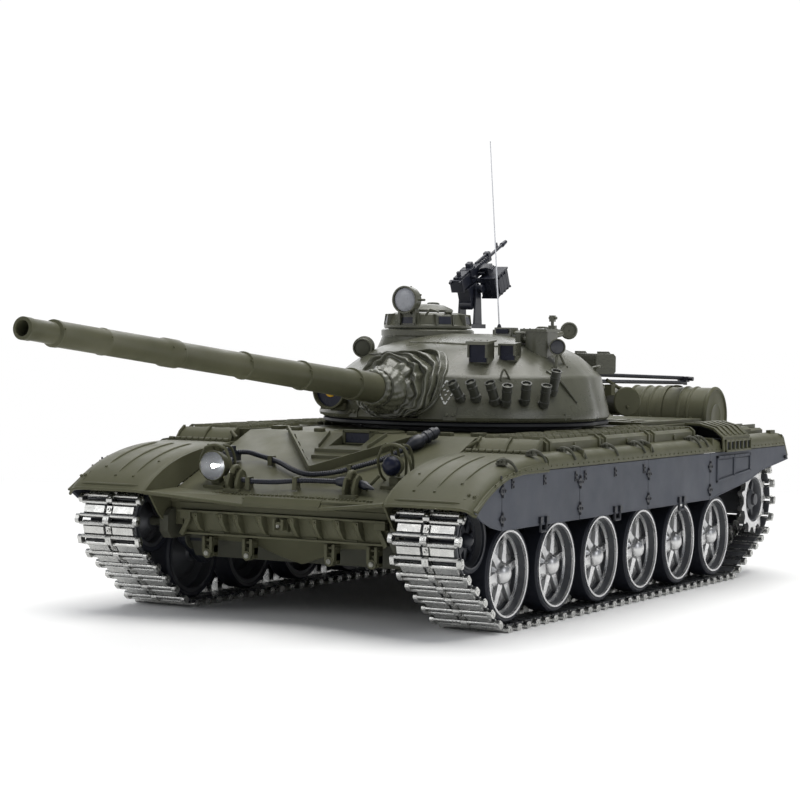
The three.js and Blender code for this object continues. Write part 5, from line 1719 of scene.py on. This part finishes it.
scopes = [periscope(d) for d in (0, 52, -52, 100, -100)]
lamp_body = lathe([(0, 6.8), (5, 6.8), (6.6, 6), (7.2, 4.4), (7.3, 0), (7.6, -0.2), (7.6, -2),
    (6.7, -2.1), (6.6, -0.6), (0, -0.4)], (cx, LAMP_Y, LAMP_Z), (0, 1, 0), 48)
lamp_lens = lathe([(6.6, -0.8), (5.8, -1.4), (3.2, -1.9), (0, -2)], (cx, LAMP_Y, LAMP_Z), (0, 1, 0),
    48)
lamp_stand = merge(box((cx - 2.6, cx + 2.6), (79.6, 86), (149, 151)),
    box((cx - 5.4, cx - 3.8), (80, 85), (144, 152)),
    box((cx + 3.8, cx + 5.4), (80, 85), (144, 152)),
    rod((cx - 8.4, 82, LAMP_Z), (cx - 7, 82, LAMP_Z), 1.4, 12),
    rod((cx + 7, 82, LAMP_Z), (cx + 10.4, 82, LAMP_Z), 0.7, 8),
    box((cx - 6, cx + 6), (82, 85.4), (143, 150)),
    *[rivet((cx + 7.2 * cos(a), 84, LAMP_Z + 7.2 * sin(a)), (cos(a), 0, sin(a)), 0.6, 0.5)
    for a in (0.4, 1.5, 2.6)])
fork = [(155, 142.4), (165, 142.4), (162.8, 166.5), (157.2, 166.5)]
cradle = merge(box((cx - 8.5, cx + 4.5), (126, 168), (142.2, 144.6)),
    prism(fork, "x", -39.6, -38.4), prism(fork, "x", -29.6, -28.4),
    rod((-43, 160, 165), (-38.4, 160, 165), 2.4, 16),
    rod((-29.6, 160, 165), (-25.4, 160, 165), 2.4, 16))
latch = merge(rod((-15.6, 94, 150.6), (-14, 99, 150.6), 0.8, 8),
    tube([(-22, 83.6, 148.6), (-19, 83.4, 152), (-15, 86, 150.6)], 0.7, 8))
piece("cupola_ring", "cupola", [(merge(ring_body, *[s[0] for s in scopes], lamp_body, lamp_stand,
    latch), TURRET), (merge(*[s[1] for s in scopes]), GLASS_DARK), (lamp_lens, LENS_GREY),
    (cradle, GUNMETAL)], "turret_olive", ["cupola"], bevel=0.18)


def hatch_lid(x, y, z, radius, dome, handle, raised):
    """A domed lid with its grip, studs and hinge blocks."""
    lid = lathe([(0, 0.2), (radius, 0.2), (radius, 1.4), (radius - 0.9, 2),
        (radius * 0.62, dome - 0.6), (radius * 0.3, dome), (0, dome + 0.2)], (x, y, z), UP, 56)
    grip = tube(smooth_path([(x + a, y + handle, z + dome + b)
        for a, b in ((-3, -0.9), (-3, raised), (3, raised), (3, -0.9))], 4), 0.6, 8)
    studs = [rivet((x + radius * 0.82 * cos(a), y + radius * 0.82 * sin(a), z + 2.1), UP, 0.6, 0.5)
        for a in np.arange(0.3, 6.3, 0.7)]
    hinges = [box((x + a, x + a + 3), (y + radius - 3, y + radius + 0.2), (z + 0.6, z + 2.8))
        for a in (-5, 2)]
    return merge(lid, grip, *studs, *hinges)


for who, spot in (("commander", (cx, cy, 150.5, 14, 4.6, 6, 0.4)),
        ("gunner", (34, 110, 138.6, 15, 3.6, 5, 0.6))):
    piece(f"{who}_lid", f"{who}_hatch", [(hatch_lid(*spot), TURRET)], "turret_olive",
        [f"{who}_hatch"], bevel=0.2)

PIVOT = (-34.0, 160.0, 165.0)
REST_ELEVATION = 24
GUN_RISE = 7.5


def laid_gun(part):
    """From the gun's own frame, along +Y about its pivot, to its rest elevation."""
    return moved(turned(part, "X", REST_ELEVATION), *PIVOT)


def machine_gun():
    parts = [box((-3.1, 3.1), (-14, 12), (-3.2, 3.4)), box((-2.6, 2.6), (-13, 6), (3.4, 4.6)),
        box((-3.6, 3.6), (-2, 3), (-3.4, 4.8)), rod((0, 11, 0.6), (0, 26, 0.6), 2.0, 16),
        rod((0, 26, 0.6), (0, 48.5, 0.6), 1.0, 14),
        rod((0, 47.5, 0.6), (0, 53.4, 0.6), 1.5, 14, 1.1), rod((0, 12, 3.4), (0, 30, 3.2), 0.8, 10),
        box((-0.5, 0.5), (40, 42), (1, 4.6)), box((-1.8, 1.8), (26, 29), (-1.4, 4.2)),
        rod((-3, -17, 2.8), (-3, -13.6, 2.8), 0.9, 8), rod((3, -17, 2.8), (3, -13.6, 2.8), 0.9, 8),
        box((-4, 4), (-15.4, -13.8), (-3.6, 3.8)), box((-1.6, 1.6), (2, 6), (4.6, 7)),
        box((-1, 1), (-11, -9), (4.4, 7.2)), rod((-4.8, -4, 0), (-3, -4, 0), 1.6, 12),
        rod((3, -2, 0.4), (6.4, -2, 0.4), 0.9, 10), box((2.8, 8.6), (9, 16), (-3, 1.8)),
        rod((-6, 4, -4), (6, 4, -4), 1.6, 12)]
    parts += [lathe([(1.95, t), (2.35, t + 0.3), (2.35, t + 1), (1.95, t + 1.3)], (0, 0, 0.6),
        (0, 1, 0), 16) for t in np.arange(12.5, 25, 2.4)]
    for k in range(9):
        sag = 0.06 * (k - 4) ** 2
        parts += [box((4.2, 8.4), (5 + k * 0.1, 7.2), (-0.5, 0.5)),
            rod((4 + k, 7, 2.2 - sag), (4 + k, 12.5, 2.2 - sag), 0.55, 8)]
    return merge(*parts)


def ammo_box():
    parts = [box((6.4, 16.4), (3.4, 20.6), (-9.8, 2)), box((6, 16.8), (3, 21), (1.6, 2.7)),
        box((16.2, 17), (6, 18), (-8.4, 0.4)), box((6, 16.8), (3, 4), (-10, -8.8)),
        box((6, 16.8), (20, 21), (-10, -8.8)), rod((11, 3.4, -3), (11, 2.4, -3), 2.2, 14)]
    parts += [box((7 + 2.8 * k, 7.8 + 2.8 * k), (2.9, 3.6), (-8.8, 1.4)) for k in range(4)]
    parts += [box((16.3, 17.1), (8 + 4 * k, 9 + 4 * k), (-9.6, 1.8)) for k in range(3)]
    return merge(*parts)


mount = merge(rod((-5.2, 0, 0), (5.2, 0, 0), 3.2, 18), rod((0, -1.5, -10), (0, -1, -3), 3.9, 24),
    box((-3.8, 3.8), (-9, 2), (-9.4, 3.4)), rod((-1.6, 14, -6.8), (-1.6, 22, -8.6), 1.3, 12),
    rod((-3.9, -8, -6.6), (3.9, -8, -6.6), 2.4, 16))
piece("roof_gun", "machine_gun", [(laid_gun(merge(moved(machine_gun(), z=GUN_RISE), mount)),
    GUNMETAL), (laid_gun(moved(ammo_box(), x=-1.2, z=2.5)), GUNMETAL)], "gun_black",
    ["machine_gun"], bevel=0.15)

mast = lathe([(2.2, 137.2), (2.2, 139), (1.4, 139.6), (1.7, 140.4), (1.2, 141), (1.5, 142),
    (0.9, 144), (0.5, 144.6), (0, 144.8)], (0, 130, 0), UP, 20)
wire = rod((0, 130, 143.5), (-6, 127, 246.6), 0.42, 8, 0.28)
piece("antenna_mast", "turret", [(mast, BLACK), (wire, WIRE)], "antenna_wire", ["antenna"], bevel=0)

# the CAD solids that stay as they are, under or inside the hull, get a finish
for node, finish in (("drive_gearbox", BLACK), ("battery_pack", BLACK),
        ("circuit_board", DARK_OLIVE), ("power_switch", BLACK)):
    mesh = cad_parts[node].data
    mesh.materials.clear()
    mesh.materials.append(finish)


# ---- floor, lights and camera ---------------------------------------------------------------

BACKDROP = (-0.481, 0.876, 0.03)
BACKDROP_FADE = (0.35, 0.9)
ROUND_FADE = (0.75, 1.45)
FLOOR_HALF = 30


def link_to(obj):
    bpy.context.scene.collection.objects.link(obj)
    return obj


def studio_floor():
    """A pale floor that takes shadows near the tank and melts into the backdrop further off."""
    mat = material("floor_finish", (0.93, 0.93, 0.93), 0.8, patch=0.01, grain=0.01, bump=0)
    tree = mat.node_tree
    link = tree.links.new
    place_on = add_node(tree, "TexCoord").outputs["Object"]
    either = add_node(tree, "Math")
    either.operation = "MAXIMUM"
    for slot, (how, (near, far)) in enumerate((("DOT_PRODUCT", BACKDROP_FADE),
            ("LENGTH", ROUND_FADE))):
        reach = add_node(tree, "VectorMath")
        reach.operation = how
        reach.inputs[1].default_value = BACKDROP
        fade = add_node(tree, "MapRange", From_Min=near, From_Max=far)
        link(place_on, reach.inputs[0])
        link(reach.outputs["Value"], fade.inputs["Value"])
        link(fade.outputs["Result"], either.inputs[slot])
    join = add_node(tree, "MixShader")
    link(either.outputs["Value"], join.inputs["Fac"])
    link(tree.nodes["Principled BSDF"].outputs["BSDF"], join.inputs[1])
    link(add_node(tree, "Emission").outputs["Emission"], join.inputs[2])
    link(join.outputs["Shader"], tree.nodes["Material Output"].inputs["Surface"])
    return mat


floor_mesh = bpy.data.meshes.new("floor")
floor_mesh.from_pydata([(x * FLOOR_HALF, y * FLOOR_HALF, 0)
    for x, y in ((-1, -1), (1, -1), (1, 1), (-1, 1))], [], [(0, 1, 2, 3)])
floor_mesh.materials.append(studio_floor())
floor = link_to(bpy.data.objects.new("floor", floor_mesh))


def area_light(name, position, target, size, power, colour=(1, 1, 1)):
    data = bpy.data.lights.new(name, "AREA")
    data.shape = "RECTANGLE"
    data.size, data.size_y = size
    data.energy, data.color = power, colour
    lamp = link_to(bpy.data.objects.new(name, data))
    lamp.location = position
    aim = Vector(target) - Vector(position)
    lamp.rotation_euler = aim.to_track_quat("-Z", "Y").to_euler()


area_light("top_light", (0.1, 0.35, 1.5), (0, 0, 0), (1.5, 1.5), 28, (1, 0.99, 0.96))
area_light("back_light", (-0.9, 1.3, 0.9), (0, 0, 0.08), (1.4, 0.9), 4, (0.97, 0.98, 1))
area_light("front_light", (-0.9, -1.4, 0.9), (0, -0.1, 0.08), (0.8, 0.8), 4.5)
area_light("side_light", (1.7, -0.35, 0.9), (0, 0, 0.05), (0.9, 0.8), 3.5, (0.95, 0.97, 1))

WHITE, SHADE, NO_LIGHT = (1, 1, 1), (0.24, 0.25, 0.27), (0, 0, 0)


def studio_world():
    """A white backdrop ahead of the camera and along the horizon, grey everywhere else."""
    world = bpy.data.worlds.new("studio")
    bpy.context.scene.world = world
    world.use_nodes = True
    tree = world.node_tree
    heading = add_node(tree, "TexCoord").outputs["Generated"]
    ahead, height = add_node(tree, "VectorMath"), add_node(tree, "SeparateXYZ")
    ahead.operation = "DOT_PRODUCT"
    ahead.inputs[1].default_value = BACKDROP
    tree.links.new(heading, ahead.inputs[0])
    tree.links.new(heading, height.inputs["Vector"])
    low = add_ramp(tree, height.outputs["Z"], 0.06, WHITE, 0.16, NO_LIGHT)
    wall = add_ramp(tree, ahead.outputs["Value"], 0.7, SHADE, 0.93, WHITE)
    sky = tree.nodes["Background"]
    tree.links.new(add_mix(tree, "LIGHTEN", low, wall), sky.inputs["Color"])
    sky.inputs["Strength"].default_value = 1.02


studio_world()

# the camera, fitted to the wheels, the skirts and the muzzle in the photo
AZIMUTH, ELEVATION, ROLL = radians(28.77), radians(1.63), radians(0.87)
EYE = Vector((575.37, -1031.97 - ORIGIN_BACK, 138.14)) * MM
back = Vector((sin(AZIMUTH) * cos(ELEVATION), -cos(AZIMUTH) * cos(ELEVATION), sin(ELEVATION)))
right = (-back).cross(Vector((0, 0, 1))).normalized()
up = right.cross(-back)
right_r = right * cos(ROLL) + up * sin(ROLL)
up_r = up * cos(ROLL) - right * sin(ROLL)
camera_data = bpy.data.cameras.new("camera")
camera_data.sensor_width = 36
camera_data.lens = 104.13
camera_data.clip_end = 100
camera = link_to(bpy.data.objects.new("camera", camera_data))
camera.matrix_world = Matrix([(right_r[i], up_r[i], back[i], EYE[i]) for i in range(3)]
    + [(0, 0, 0, 1)])
bpy.context.scene.camera = camera
bpy.context.scene.view_settings.view_transform = "Standard"
